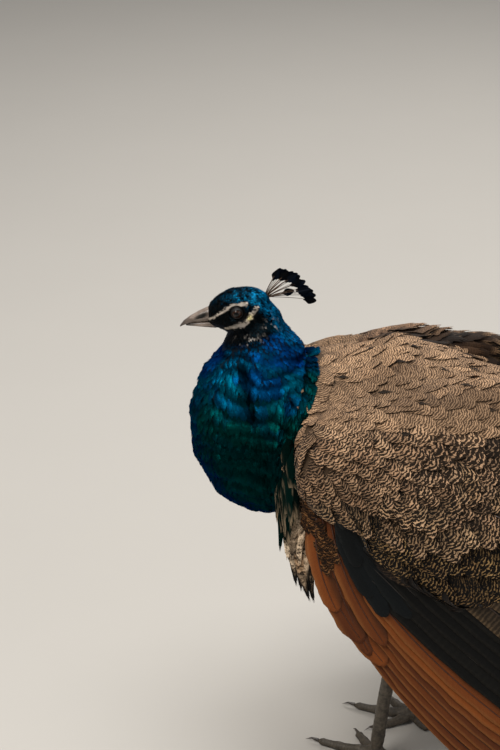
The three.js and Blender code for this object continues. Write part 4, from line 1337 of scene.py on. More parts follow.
def lay_far_rim():
    """Long loose feathers with paler fringes along the far shoulder."""
    rng = np.random.default_rng(17)
    coat = Coat("shoulder_plumes_right", BARRED_VANE, "barred_feather")
    places, _ = sow(lambda p, n: far_rim(p), constant(9.0), rng)
    lift = 4.0 + 3.5 * rng.random(len(places)) + 2 * smooth(60, 78, places[:, 1])
    pale = (rng.random(len(places)) < 0.4)[:, None, None]
    laid(coat, places, 44, 13, vane_grid(6, 6, 0.5, 0.5, 0.4, 0.9, fingers=True), 6, 0.7, lift, shade=0.3, turn=0.22, rng=rng, cup=0.35,
         plume=shoulder_plume, rim=(colour("a98765"), 0.85 * pale))
    # the rounded crest of the shoulder
    places, _ = sow(lambda p, n: (p[:, 1] > 50) & (p[:, 1] < 92) & (p[:, 0] > -48) & (p[:, 0] < 100) & (p[:, 2] > 436), constant(7.5), rng)
    crest = np.exp(-(((places[:, 0] - 6) / 44) ** 2)) * smooth(46, 58, places[:, 1])
    for sink, lift in ((-2.0, 6.0), (-6.0, 11.0), (-10.0, 16.0)):
        some, height = places[crest > -0.06 * sink - 0.15], crest[crest > -0.06 * sink - 0.15]
        ways = np.stack([np.full(len(some), 1.0), np.full(len(some), 0.15), np.zeros(len(some))], 1)
        laid(coat, some, 27, 17, vane_grid(7, 6, 0.6, 0.5, 0.4, 0.8), 7, sink * height, 2.5 + (lift - 2.5) * height, shade=0.16, turn=0.14, rng=rng, cup=0.25,
             curl=-2.0, plume=shoulder_plume, ways=ways * 3, rim=(colour("b08e6c"), 0.45))
    coat.finish()


# Rows of broad coverts: tips (x, z), the way each points, length, width and look.
COVERT_ROWS = [
    ([(-22, 288), (2, 276), (26, 262), (50, 248), (74, 240), (98, 244), (120, 252)], (0.78, -0.62), 62, 34, 3.0, "dusky"),
    ([(-30, 316), (-8, 304), (12, 294), (36, 281), (62, 264), (90, 262), (118, 268), (146, 282)], (0.78, -0.62), 56, 36, 4.6, "black"),
    ([(-20, 334), (8, 322), (34, 307), (60, 301), (90, 298), (118, 300), (150, 308)], (0.76, -0.65), 56, 34, 5.2, "black"),
    ([(-62, 348), (-44, 344), (-22, 344), (4, 333), (30, 328), (54, 330), (80, 336), (108, 338), (136, 344), (164, 352)], (0.74, -0.67), 46, 32, 6.6, "bold"),
    ([(-14, 371), (6, 357), (34, 352), (62, 364), (82, 388), (86, 414)], None, 34, 27, 6.0, "bold"),
    ([(112, 372), (120, 398), (140, 362), (166, 376), (190, 372)], (0.9, -0.44), 44, 32, 5.0, "bold"),
]


def row_line(x):
    """How low the small coverts reach, above the rows of broad ones."""
    return np.interp(x, (-70, -62, -44, -22, 4, 30, 54, 80, 108, 136, 164, 200), (200, 342, 355, 357, 349, 346, 350, 357, 360, 366, 374, 300))


def covert_look(kind):
    def plume(points, tract=None):
        tone, metal, bar, strength, law = plumage(points, "coverts")
        fine = value_noise(points, 8, 29)[:, None]
        look = {
            "bold": ("967656", "bc9c78", "120c07", 0.97, 3.8, 0.65, 0.55),
            "black": ("8a6a44", "b0905f", "060403", 0.99, 3.7, 0.7, 0.95),
            "dusky": ("30241a", "4a3929", "080605", 0.85, 4.2, 0.6, 0.6),
        }[kind]
        count = len(points)
        tone = mix(colour(look[0]), colour(look[1]), fine)
        law = np.stack([np.full(count, look[4]), np.full(count, look[5]), np.full(count, look[6])], 1)
        return tone, metal, np.repeat(colour(look[2])[None], count, 0), np.full(count, look[3]), law

    return plume


def lay_covert_rows(name, side):
    """The rounded feathers whose tips stand over one another down the wing."""
    rng = np.random.default_rng(19)
    coat = Coat(f"greater_coverts_{name}", BARRED_VANE, "barred_feather")
    pattern = vane_grid(9, 8, 0.62, 0.45, 0.45, 0.8)
    for tips, way, length, width, lift, kind in COVERT_ROWS:
        tips = np.array(tips, float)
        along = np.concatenate(([0], np.cumsum(np.linalg.norm(np.diff(tips, axis=0), axis=1))))
        count = max(3, int(along[-1] / (width * 0.42)))
        at = np.linspace(0, along[-1], count)
        spots = np.stack([np.interp(at, along, tips[:, 0]), np.interp(at, along, tips[:, 1])], 1) + rng.normal(0, 2.0, (count, 2))
        ways = unit(spots - np.array((12, 424))) if way is None else np.repeat(unit(np.array([way])), count, 0)
        roots = spots - ways * length * 0.94
        starts = wing_surface(side, roots, 36.0)
        paths = np.stack([ways[:, 0], np.zeros(count), ways[:, 1]], 1)
        order = np.argsort(-spots[:, 0])
        # painted shadow: deep=0.15 paints each covert's root dark, as the shadow under the row above
        laid(coat, starts[order], length, width, pattern, 9, 1.0, lift + 0.10 * np.arange(count) % 1.0, shade=0.16, turn=0.04, rng=rng, cup=0.16,
             plume=covert_look(kind), ways=paths[order] * 6, deep=0.15, rim=(colour("b8987a" if kind == "bold" else "806648"), 0.5 if kind != "dusky" else 0.15))
    coat.finish()


def lay_shoulder_spots(name, side):
    """Small rusty feathers at the bend of the wing, before the chestnut ones."""
    rng = np.random.default_rng(21)
    coat = Coat(f"rusty_coverts_{name}", BARRED_VANE, "barred_feather")
    count = 54
    share, off = rng.random(count), rng.normal(0, 1, count)
    flat = np.stack([mix(-94, -64, share) + 3 * off, mix(364, 316, share) + 5 * off], 1)
    flat = flat[np.argsort(flat[:, 1])]
    starts = wing_surface(side, flat, 8.5)
    ways = unit(np.array((0.35, 0, -0.93)) + rng.normal(0, 0.15, (count, 3)))
    steps = np.linspace(0, 1, 5)[None, :, None]
    lengths = 15 + 4 * rng.random(count)
    spines = starts[:, None] + ways[:, None] * steps * lengths[:, None, None]
    spines[:, :, 1] = wing_surface(side, spines[:, :, [0, 2]].reshape(-1, 2), 7.0).reshape(count, 5, 3)[:, :, 1] + side * 1.8 * steps[..., 0]
    ups = np.zeros_like(spines)
    ups[..., 1] = side
    sides = unit(np.cross(ups, np.repeat(ways[:, None], 5, 1)))
    tone = mix(colour("42270f"), colour("8a6038"), (rng.random(count) ** 1.3)[:, None])
    coat.lay(spines, sides, ups, vane_grid(5, 4, 0.5, 0.5, 0.4, 0.82), np.full(count, 4.8), tone, np.zeros(count),
             np.repeat(colour("120a05")[None], count, 0), np.full(count, 0.9), np.tile((3.2, 0.8, 0.5), (count, 1)), starts, 0.2)
    coat.finish()


def lay_underparts():
    rng = np.random.default_rng(11)
    coat = Coat("belly_plumage", PALE_VANE, "buff_feather")
    places, _ = sow(tract("underparts"), constant(8.6), rng)
    size = mix(0.6, 1.0, smooth(150, 230, places[:, 2]))
    laid(coat, places, 36 * size, 16 * size, vane_grid(4, 6, 0.35, 0.5, 0.35, 0.95, fingers=True), 5, 1.0, 4.2,
         shade=0.14, turn=0.16, rng=rng, cup=0.3, tract="belly")
    coat.finish()


def lay_rump():
    rng = np.random.default_rng(13)
    coat = Coat("rump_plumage", BACK_VANE, "brown_feather")
    places, _ = sow(tract("rump"), constant(9.0), rng)
    laid(coat, places, 38, 24, vane_grid(5, 4, 0.45, 0.5, 0.4, 0.85), 5, 1.0, 4.2, shade=0.12, turn=0.10, rng=rng, cup=0.22, tract="rump")
    coat.finish()


def lay_flank(name, side):
    """Loose plumes between breast and wing: dark green ones edged with buff, then pale ones tipped with black."""
    rng = np.random.default_rng(15)
    coat = Coat(f"flank_plumes_{name}", FLANK_VANE, "buff_feather")
    pattern = vane_grid(9, 6, 0.5, 0.35, 0.4, 0.6, fingers=True)
    rows = [
        # root from, root to, tip from, tip to, count, width, kind
        ((-109, 74, 348), (-98, 84, 354), (-109, 86, 286), (-96, 99, 282), 8, 16, "pale"),
        ((-107, 78, 332), (-94, 88, 338), (-103, 90, 268), (-89, 102, 266), 9, 15, "pale"),
        ((-104, 84, 312), (-92, 92, 312), (-95, 95, 254), (-83, 102, 248), 7, 12, "tipped"),
        ((-100, 90, 292), (-88, 96, 290), (-84, 99, 245), (-78, 101, 240), 4, 11, "tipped"),
        ((-116, 68, 372), (-106, 80, 384), (-118, 81, 318), (-107, 95, 314), 9, 12, "green"),
        ((-113, 78, 352), (-105, 88, 360), (-113, 89, 296), (-106, 100, 296), 4, 10, "green"),
        ((-107, 78, 424), (-99, 88, 408), (-111, 82, 352), (-97, 98, 356), 8, 13, "green"),
        ((-109, 80, 398), (-99, 90, 386), (-112, 86, 330), (-96, 102, 326), 7, 13, "green"),
    ]
    for root_a, root_b, tip_a, tip_b, count, width, kind in rows:
        for i in range(count):
            share = (i + 0.5) / count
            root = mix(np.array(root_a, float), np.array(root_b, float), share) + rng.normal(0, 1.2, 3)
            tip = mix(np.array(tip_a, float), np.array(tip_b, float), share) + rng.normal(0, 2.0, 3)
            tip = root + (tip - root) * rng.uniform(0.75, 1.05)
            steps = np.linspace(0, 1, 7)[:, None]
            middle = (root + tip) / 2 + np.array((-2.0, 3.5, 0)) + rng.normal(0, 1.6, 3)
            line = root * (1 - steps) ** 2 + 2 * middle * steps * (1 - steps) + tip * steps**2
            line[:, 1] *= side
            ahead = unit(np.gradient(line, axis=0))
            up = np.array((-0.35, side * 0.94, 0.1)) + rng.normal(0, 0.14, 3)
            up = unit(up - ahead * (ahead @ up)[:, None])
            across = np.cross(up, ahead)
            v = pattern[0][:, 1]
            edge = np.abs(pattern[0][:, 0])
            if kind == "green":
                tones = mix(colour("020b0a"), colour("042a25"), rng.random() ** 1.5)[None] * np.ones((len(v), 1))
                fringe = smooth(0.7, 0.9, np.maximum(edge, v) + 0.1 * rng.normal(0, 1, len(v))) * smooth(0.25, 0.45, v) * (rng.random() < 0.75)
                tones = mix(tones, colour("b09a7e"), (0.9 * fringe)[:, None])
            else:
                pale = mix(colour("bc9a78"), colour("f0dabc"), rng.random())
                grey = colour("241d17")
                tones = mix(grey, pale, smooth(0.1, 0.5, v + 0.5 * (rng.random() - 0.4))[:, None]) * np.ones((len(v), 1))
                if kind == "tipped":
                    tones = mix(tones, colour("07090a"), smooth(0.5, 0.68, v + 0.25 * (edge - 0.3))[:, None])
                elif rng.random() < 0.45:
                    tones = mix(tones, colour("1c1a18"), (smooth(0.5, 0.9, v) * 0.75)[:, None])
            bars = 0.0 if kind == "green" else 0.85
            coat.lay(line[None], across[None], up[None], pattern, np.array([width / 2]), tones[None], [1.0 if kind == "green" else 0.0],
                     colour("1c1510")[None], [bars], [(9, 1.0, -0.85)], root[None] * np.array((1, side, 1)), 0.22)
    coat.finish(f"flank_{name}")


lay_head()
lay_neck()
lay_mantle()
lay_coverts()
lay_underparts()
lay_rump()
lay_flank("left", LEFT)
lay_flank("right", RIGHT)
lay_far_rim()
for wing, out in (("left", LEFT), ("right", RIGHT)):
    lay_covert_rows(wing, out)
    lay_shoulder_spots(wing, out)


# ---------------------------------------------------------------------------------------------
# Quills: the wings' and tail's long feathers, one by one


def quill_pattern(rows, columns, slots=()):
    """A long vane with a rounded tip; across runs from its leading to its trailing edge."""
    spots, faces = [], []
    for r in range(rows + 1):
        f = 1 - (1 - r / rows) ** 1.3
        swell = 0.42 + 0.58 * smooth(0, 0.32, f)
        tip = max(0.0, (f - 0.82) / 0.18)
        half = swell * max(0.16, math.sqrt(max(0.0, 1 - tip * tip)))
        for c in range(columns + 1):
            u = 2 * c / columns - 1
            spots.append((u * half, f))
    for r in range(rows):
        for c in range(columns):
            a = r * (columns + 1) + c
            faces.append((a, a + 1, a + columns + 2, a + columns + 1))
    return np.array(spots, float), faces


def bezier(root, bend, tip, shares):
    root, bend, tip = (np.asarray(p, float) for p in (root, bend, tip))
    s = shares[:, None]
    return root * (1 - s) ** 2 + bend * 2 * s * (1 - s) + tip * s * s


def tail_surface(spec, flat, height):
    a, b = flat[..., 0], flat[..., 1]
    s = a / spec["length"]
    z = spec["z"] - a * math.tan(math.radians(spec["drop"])) + spec["bow"] * 4 * s * (1 - s) - spec["roof"] * b**2 + height
    return np.stack([spec["x"] + a, b, z], -1)


def quill(coat, shafts, surface, line, half, height, tone, bar, strength, law, metal, shaft_tone, lean=0.32, rows=18, columns=6,
          ragged=0.6, edge=None, rng=GROWTH, camber=1.6, edge_tone=None, thick=0.5, roll=1.0):
    """One quill: a cambered vane with a narrow and a broad web, closed underneath, and its shaft."""
    spots, faces = quill_pattern(rows, columns)
    shares = spots[:, 1]
    centre = bezier(*line, shares)
    ahead = bezier(*line, np.clip(shares + 0.01, 0, 1)) - bezier(*line, np.clip(shares - 0.01, 0, 1))
    ahead = ahead / np.linalg.norm(ahead, axis=1, keepdims=True)
    across = np.stack([-ahead[:, 1], ahead[:, 0]], 1)
    u = spots[:, 0]
    web = np.where(u > 0, 1 + lean, 1 - lean)
    shift = 0.0
    jag = rng.normal(0, ragged, len(u)) * (np.abs(u) > 0.5) * smooth(0.1, 0.5, shares)
    flat = centre + across * (u * half * web + np.sign(u) * jag + shift)[:, None]
    lift = height + camber * (1 - (u * web) ** 2) - 0.6 - roll * u
    top = surface(flat, lift)
    under = surface(flat, lift - thick * (1 - np.clip(np.abs(u) / np.maximum(1e-6, np.abs(u).max()), 0, 1) ** 4) - 0.05)
    count = len(spots)
    outward = np.cross(top[1] - top[0], top[columns + 1] - top[0])
    probe = surface(flat[:1], lift[:1] + 1)[0] - top[0]
    flip = outward @ probe < 0
    upper = [tuple(reversed(f)) if flip else f for f in faces]
    lower = [tuple(i + count for i in reversed(f)) for f in upper]
    rim = list(range(columns + 1)) + [r * (columns + 1) + columns for r in range(1, rows + 1)]
    rim += [rows * (columns + 1) + c for c in range(columns - 1, -1, -1)] + [r * (columns + 1) for r in range(rows - 1, 0, -1)]
    walls = [(a, b, b + count, a + count) for a, b in zip(rim, rim[1:] + rim[:1])]
    walls = [tuple(reversed(w)) if not flip else w for w in walls]
    points = np.concatenate([top, under])
    lengths = np.linalg.norm(np.diff(bezier(*line, np.linspace(0, 1, 12)), axis=0), axis=1).sum()
    number = rng.random()
    # painted shade: each quill is darker towards its root, where the coverts cover it
    shade = (0.72 + 0.28 * smooth(0.0, 0.35, shares)) * (1 + rng.normal(0, 0.05))
    tones = np.asarray(tone)[None] * shade[:, None] if np.ndim(tone) == 1 else tone(u, shares, top)
    if edge_tone is not None:
        rimward = smooth(0.62, 0.98, np.abs(u) / np.maximum(0.2, np.abs(u).max()))
        tones = mix(tones, edge_tone, rimward[:, None])
    # the underside copy is painted darker, as shade
    tones = np.concatenate([tones, tones * 0.7])
    place = np.stack([u * half * web, shares * lengths, np.full(count, number)], 1)
    root = np.repeat(top[:1], count, 0)
    patch = skin_unwrap(root) + np.stack([u * 0.0015, (shares - 0.5) * 0.003], 1)
    coat.points.append(points)
    for face in upper + lower + walls:
        coat.faces.append(np.array([face]) + coat.total)
    coat.total += 2 * count
    coat.ground.append(np.concatenate([tones, np.full((2 * count, 1), metal)], 1))
    coat.mark.append(np.tile([*bar, strength], (2 * count, 1)))
    coat.place.append(np.concatenate([place, place]))
    coat.law.append(np.tile(law, (2 * count, 1)))
    coat.patch.append(np.concatenate([patch, patch]))
    if shafts is not None:
        steps = np.linspace(0, 0.97, 15)
        middle = surface(bezier(*line, steps), height + camber - 0.45)
        shafts.rod(middle, mix(1.15, 0.3, steps), shaft_tone, surface(bezier(*line, steps), height + camber + 5) - middle)


class Rods:
    """Gathers tapering shafts into one piece."""

    def __init__(self, name, slot):
        self.name, self.slot = name, slot
        self.points, self.faces, self.ground, self.patch, self.total = [], [], [], [], 0

    def rod(self, line, radii, tone, ups, sides=5):
        ahead = unit(np.gradient(line, axis=0))
        ups = unit(ups - ahead * np.einsum("ij,ij->i", ups, ahead)[:, None])
        across = np.cross(ahead, ups)
        rings = []
        for k in range(sides):
            angle = 2 * math.pi * k / sides
            rings.append(line + (across * math.cos(angle) + ups * math.sin(angle)) * np.asarray(radii)[:, None])
        rings = np.stack(rings, 1)
        count = len(line)
        self.points.append(rings.reshape(-1, 3))
        for r in range(count - 1):
            for k in range(sides):
                a, b = r * sides + k, r * sides + (k + 1) % sides
                self.faces.append(tuple(self.total + i for i in (a, b, b + sides, a + sides)))
        self.faces.append(tuple(self.total + k for k in reversed(range(sides))))
        self.faces.append(tuple(self.total + (count - 1) * sides + k for k in range(sides)))
        self.total += count * sides
        self.ground.append(np.tile([*tone, 1], (count * sides, 1)))
        self.patch.append(np.repeat(skin_unwrap(line[:1]), count * sides, 0) + np.random.default_rng(count).random((count * sides, 2)) * 0.002)

    def finish(self, material=None):
        obj = new_piece(self.name, np.concatenate(self.points), self.faces, material or SHAFT_HORN)
        set_attribute(obj, "ground", "FLOAT_COLOR", np.concatenate(self.ground))
        set_uv(obj, "OFBake", np.concatenate(self.patch))
        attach(obj, "root")
        return obj


WING_FANS = {
    "primaries": dict(first=((-70, 312), (-34, 170), (138, 44)), last=((-62, 330), (20, 192), (176, 92)), count=8, half=(10, 14), height=(-0.6, 5.2)),
    "secondaries": dict(first=((-60, 326), (52, 198), (186, 104)), last=((52, 316), (138, 250), (238, 178)), count=9, half=(16, 19), height=(6.6, 11.4)),
    "tertials": dict(first=((14, 335), (124, 226), (222, 158)), last=((96, 360), (186, 316), (284, 262)), count=6, half=(20, 25), height=(11.4, 14.6)),
}


# Root, bend, tip, half width and height of each covert of the hand, chestnut ones and black ones.
HAND_COVERTS = [
    ((-78, 345), (-66, 259), (-8, 193), 13, 3.6), ((-84, 352), (-82, 286), (-32, 219), 13, 5.2), ((-74, 350), (-66, 280), (-24, 204), 10, 4.4),
    ((-66, 350), (-56, 282), (-9, 216), 11, 6.2), ((-80, 350), (-84, 300), (-58, 252), 11, 6.4),
]
BLACK_COVERTS = [
    ((-52, 350), (-26, 296), (16, 246), 9, 8.4), ((-58, 350), (-42, 298), (-8, 248), 9, 8.9), ((-60, 352), (-50, 308), (-24, 268), 8.5, 9.4),
    ((-60, 360), (-52, 332), (-37, 302), 8, 10.0), ((-68, 374), (-61, 358), (-48, 344), 7, 11.0), ((-40, 350), (-14, 300), (34, 250), 10, 8.0),
]


def fan_lines(spec):
    for i in range(spec["count"]):
        share = i / (spec["count"] - 1)
        line = [mix(np.array(a, float), np.array(b, float), share) for a, b in zip(spec["first"], spec["last"])]
        yield share, line, mix(*spec["half"], share), mix(*spec["height"], share)


def lay_wing(name, side):
    rng = np.random.default_rng(31)

    def surface(flat, height):
        return wing_surface(side, flat, height)

    shafts = Rods(f"wing_shafts_{name}", "brown_feather")
    def chestnut_tone(bright):
        def tones(u, shares, top):
            streak = value_noise(np.stack([u * 9, shares * 22, np.full(len(u), bright * 50)], 1), 3.0, 33)
            base = mix(colour("442010"), colour("8c4a1c"), (bright * 0.7 + 0.3 * streak)[:, None])
            base = mix(base, colour("a06432"), (smooth(-0.62, -0.95, u) * 0.75)[:, None])
            # painted shadow: the trailing web, tucked under the next quill, is darkened
            base = mix(base, colour("2a1a10"), (smooth(0.05, 0.7, u) * mix(0.5, 0.95, streak))[:, None])
            # painted shade: darker towards the root
            return base * (0.7 + 0.3 * smooth(0.0, 0.3, shares))[:, None]
        return tones

    chestnut = Coat(f"primaries_{name}", QUILL_VANE, "chestnut_feather")
    for share, line, half, height in fan_lines(WING_FANS["primaries"]):
        line[2] = line[2] + (line[2] - line[1]) * rng.uniform(-0.06, 0.0)
        quill(chestnut, shafts, surface, line, half, height, chestnut_tone(rng.random()), colour("3a1c0e"), 0.0, (7, 0.3, 0), 0.0,
              colour("6c4426"), lean=0.4, rng=rng, roll=1.6)
    chestnut.finish(f"wing_{name}_primaries")
    lobes = Coat(f"hand_coverts_{name}", QUILL_VANE, "chestnut_feather")
    for root, bend, tip, half, height in HAND_COVERTS:
        quill(lobes, shafts, surface, [root, bend, tip], half, height, chestnut_tone(rng.random()), colour("3a1c0e"), 0.0, (6, 0.3, 0), 0.0,
              colour("70482a"), lean=0.1, rng=rng, rows=16, columns=8, roll=0.6)
    for root, bend, tip, half, height in BLACK_COVERTS:
        tone = mix(colour("060808"), colour("0d1214"), rng.random())
        quill(lobes, None, surface, [root, bend, tip], half, height, tone, colour("06080a"), 0.0, (6, 0.3, 0), 0.25,
              colour("2a2824"), lean=0.1, rng=rng, rows=14, columns=8, roll=0.6, edge_tone=colour("161b1c"))
    lobes.finish(f"wing_{name}_hand_coverts")
    black = Coat(f"secondaries_{name}", QUILL_VANE, "black_feather")
    for share, line, half, height in fan_lines(WING_FANS["secondaries"]):
        line[2] = line[2] + (line[2] - line[1]) * rng.uniform(-0.05, 0.0)
        tone = mix(colour("080807"), colour("100f0c"), rng.random())
        quill(black, shafts, surface, line, half, height, tone, colour("050606"), 0.2, (8, 0.3, 0), 0.2,
              colour("857868") if share in (0.375, 0.75) else colour("2a2620"), lean=0.3, rng=rng, roll=1.4, edge_tone=colour("181611"))
    black.finish(f"wing_{name}_secondaries")
    brown = Coat(f"tertials_{name}", QUILL_VANE, "barred_feather")
    for share, line, half, height in fan_lines(WING_FANS["tertials"]):
        tone = mix(colour("2c241a"), colour("443729"), rng.random())
        quill(brown, shafts, surface, line, half, height, tone, colour("100c08"), 0.5, (4.6, 0.5, 0), 0.0,
              colour("4c3e2e"), lean=0.15, edge_tone=colour("6c5840"), rng=rng, roll=1.4)
    brown.finish(f"wing_{name}_tertials")
    shafts.finish()


TAIL = dict(x=208, z=379, length=378, drop=17, bow=10, roof=0.006)
TAIL_COVERTS = dict(x=202, z=396, length=280, drop=17.5, bow=16, roof=0.006)
UNDERTAIL = dict(x=198, z=364, length=150, drop=17, bow=-6, roof=-0.004)


def lay_tail():
    rng = np.random.default_rng(41)
    shafts = Rods("tail_shafts", "brown_feather")
    for piece, spec, pairs, spread, root_half, half, shorter, nodes, look in (
        ("tail_quills", TAIL, 9, 26, 14, 19, 0.1, "tail_feathers", ("463a2c", "5f4e3c", "1e1812", 0.45, 5.0)),
        ("tail_coverts", TAIL_COVERTS, 5, 24, 18, 20, 0.35, "tail_coverts", ("4c4630", "665638", "1b1a12", 0.6, 5.5)),
        ("undertail_coverts", UNDERTAIL, 4, 14, 14, 15, 0.3, "undertail_coverts", ("8d775c", "a99376", "4b3b2c", 0.2, 6.0)),
    ):
        coat = Coat(piece, BACK_VANE if piece == "tail_coverts" else QUILL_VANE, "brown_feather")

        def surface(flat, height):
            return tail_surface(spec, flat, height)

        down = -1 if piece == "undertail_coverts" else 1
        for i in range(-pairs, pairs + 1):
            share = i / pairs
            for layer in (0, 1) if piece == "tail_coverts" else (0,):
                reach = spec["length"] * (1 - shorter * share * share) * (1 - 0.42 * layer)
                start = root_half * share
                end = start + spread * share * (1 - 0.3 * layer)
                line = [(0, start), (reach / 2, (start + end) / 2), (reach, end)]
                line = [np.array(p, float) for p in line]
                height = -abs(share) * 5.5 - (0.3 if i < 0 else 0) + 2.2 * layer
                tone = mix(colour(look[0]), colour(look[1]), rng.random())
                quill(coat, shafts, surface, line, half * (1 - 0.25 * layer), height * down, tone, colour(look[2]), look[3], (look[4], 0.5, 0), 0.3,
                      colour("7a6248"), lean=0.2 * np.sign(i), rng=rng, rows=16, edge_tone=colour("8a7358"))
        coat.finish(nodes)
    shafts.finish()


lay_wing("left", LEFT)
lay_wing("right", RIGHT)
lay_tail()


# ---------------------------------------------------------------------------------------------
# Head: crest, eyes with their lids, and bill


def lay_crest():
    """Twenty-two thin shafts fanned over the crown, each with a small spade of blue-black vane."""
    rng = np.random.default_rng(51)
    shafts = Rods("crest_shafts", "blue_feather")
    spades = Coat("crest_spades", CREST_VANE, "blue_feather")
    pattern = vane_grid(9, 6, 0.42, 0.12, 0.6, 0.95)
    count = 24
    for i in range(count):
        share = (i + 0.5) / count
        angle = math.radians(mix(66, -5, share) + rng.normal(0, 1.2))
        reach = mix(33, 50, share**0.9) * (1 + rng.normal(0, 0.02))
        if i == 17:
            reach *= 0.62
        lean = rng.normal(0, 0.05)
        start = CREST_ROOT + np.array((-3 + 3 * share, lean * 20, -1.5))
        way = np.array((math.cos(angle), lean, math.sin(angle)))
        bow = np.array((math.sin(angle), 0, -math.cos(angle))) * -1.2
        steps = np.linspace(0, 1, 9)
        line = start + way * (steps * reach)[:, None] + bow * (np.sin(steps * math.pi))[:, None]
        stalk = line[:-2]
        shafts.rod(stalk, np.linspace(0.36, 0.24, len(stalk)), colour("7a6a4a"), np.repeat([[0.0, 1.0, 0.0]], len(stalk), 0), 4)
        blade = line[-1] - way * 13.5
        spine = (blade + way * (np.linspace(0, 13.5, 5))[:, None])[None]
        for turn in (0.0, 0.5):
            flat = unit(np.cross(way, (0, 1, 0)))
            across = flat * math.cos(turn) + np.array((0, 1, 0)) * math.sin(turn)
            up = np.cross(way, across)
            sides = np.repeat(across[None, None], 5, 1)
            ups = np.repeat(up[None, None], 5, 1)
            tone = mix(colour("020306"), colour("07182c"), rng.random() * 0.6)
            spades.lay(spine, sides, ups, pattern, np.array([3.9]), tone[None], [0.9], colour("000000")[None], [0.0], [(9, 0, 0)], start[None], 0.1)
    spades.finish("crest")
    shafts.finish()


def make_lids():
    """Fleshy lids as rings over each eyeball, thick at the almond opening and running into the skin."""
    rings, steps = 7, 40
    for name, side in (("left", LEFT), ("right", RIGHT)):
        centre = EYE * np.array((1, -side, 1))
        points, faces = [], []
        for r in range(rings):
            f = r / (rings - 1)
            for k in range(steps):
                angle = 2 * math.pi * k / steps
                open_x, open_z = 5.0, 3.9
                dx = math.cos(angle) * mix(open_x, 9.6, f)
                dz = math.sin(angle) * mix(open_z, 8.4, f)
                if math.cos(angle) < 0:
                    dz -= 0.25 * math.cos(angle) * (1 - f) * -2
                ball = math.sqrt(max(0.0, (EYE_RADIUS + 0.15) ** 2 - dx * dx - dz * dz))
                rim = 0.95 * math.sin(math.pi * min(1, f * 1.7)) if f < 0.6 else 0.2 * (1 - f)
                fold = 0.35 * math.sin(f * math.pi * 3) * (f > 0.2)
                if r == 0:
                    out = ball - 0.6
                else:
                    out = mix(ball + rim + 0.1, 2.6, smooth(0.35, 1.0, f)) + fold
                points.append(centre + np.array((dx, side * out, dz)))
        for r in range(rings - 1):
            for k in range(steps):
                a, b = r * steps + k, r * steps + (k + 1) % steps
                face = (a, b, b + steps, a + steps)
                faces.append(face if side > 0 else tuple(reversed(face)))
        obj = new_piece(f"eyelids_{name}", np.array(points), faces, LID_SKIN)
        subdivide = obj.modifiers.new("round", "SUBSURF")
        subdivide.levels = subdivide.render_levels = 1
        apply_all(obj)
        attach(obj, "root")


def make_eyes():
    for name, side in (("left", LEFT), ("right", RIGHT)):
        lone(skin)
        bpy.ops.mesh.primitive_uv_sphere_add(segments=40, ring_count=24, radius=EYE_RADIUS / 1000,
                                             location=bird_to_row(EYE * np.array((1, -side, 1))), rotation=(math.pi / 2, 0, 0))
        eye = bpy.context.active_object
        eye.name = eye.data.name = f"eyeball_{name}"
        bpy.ops.object.transform_apply(location=True, rotation=True, scale=True)
        points = mesh_points(eye)
        gap = points - EYE * np.array((1, -side, 1))
        bulge = np.hypot(gap[:, 0], gap[:, 2])
        points[:, 1] += side * 0.55 * (1 - smooth(0, 4.4, bulge)) * (gap[:, 1] * side > 0)
        place_points(eye, points)
        bpy.ops.object.shade_smooth()
        eye.data.materials.append(WET_EYE)
        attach(eye, "root")
        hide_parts(f"eye_{name}")


def shaped_bill(name, stations, node, rings=26, sides=28, nostril=False, hook=0.0):
    """A half of the bill as a loft of egg-shaped rings, with its nostril, ridge and cutting edge."""
    stations = np.array(stations, float)
    keys = np.linspace(0, 1, len(stations))
    points, shades = [], []
    for r in range(rings):
        f = r / (rings - 1)
        x, z, across, up, down = (np.interp(f, keys, stations[:, c]) for c in range(5))
        for k in range(sides):
            angle = 2 * math.pi * k / sides
            s, c = math.sin(angle), math.cos(angle)
            wide = across * np.sign(c) * abs(c) ** (0.9 if s > 0 else 0.75)
            high = z + (up * abs(s) ** 0.85 if s > 0 else -down * abs(s) ** 1.4)
            place = np.array((x, wide, high))
            shade = 1.0
            if nostril and s > -0.1:
                spot = np.array((-195.0, 519.2))
                gap = np.array((x, high)) - spot
                along = gap @ np.array((-0.85, -0.52))
                off = gap @ np.array((0.52, -0.85))
                hole = math.exp(-((along / 5.6) ** 2 + (off / 1.8) ** 2))
                fossa = math.exp(-((((along + 0.5) / 8.2) ** 2 + (off / 3.2) ** 2) ** 2))
                lip = math.exp(-((along / 7.5) ** 2 + (off / 3.4) ** 2)) - hole
                place[1] -= np.sign(wide) * (0.7 * hole - 0.5 * lip)
                # painted shade: the nostril's hole is painted near black; the fossa round it is darker
                shade *= (1 - 0.97 * min(1, hole * 1.6)) * (1 - 0.78 * fossa)
            shade *= mix(1.0, 0.3, smooth(0.52, 0.88, f))
            shade *= 1 + 0.35 * math.exp(-((abs(s) / 0.22) ** 2)) * (1 - f)
            points.append(place)
            shades.append(shade)
    faces = [(r * sides + k, r * sides + (k + 1) % sides, (r + 1) * sides + (k + 1) % sides, (r + 1) * sides + k)
             for r in range(rings - 1) for k in range(sides)]
    faces.append(tuple(reversed(range(sides))))
    faces.append(tuple((rings - 1) * sides + k for k in range(sides)))
    obj = new_piece(name, np.array(points), faces, BILL_HORN)
    made = bmesh.new()
    made.from_mesh(obj.data)
    bmesh.ops.recalc_face_normals(made, faces=made.faces)
    made.to_mesh(obj.data)
    made.free()
    shades = np.array(shades)
    set_attribute(obj, "ground", "FLOAT_COLOR", np.stack([shades, shades, shades, np.ones(len(shades))], 1))
    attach(obj, "root")
    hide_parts(node)
    return obj


def lid_material():
    material = horn_material("lid_skin", colour("141211"), colour("050404"), 0.6, 500.0, 1.0, (1, 1, 1), 0.4, 0.0)
    return material


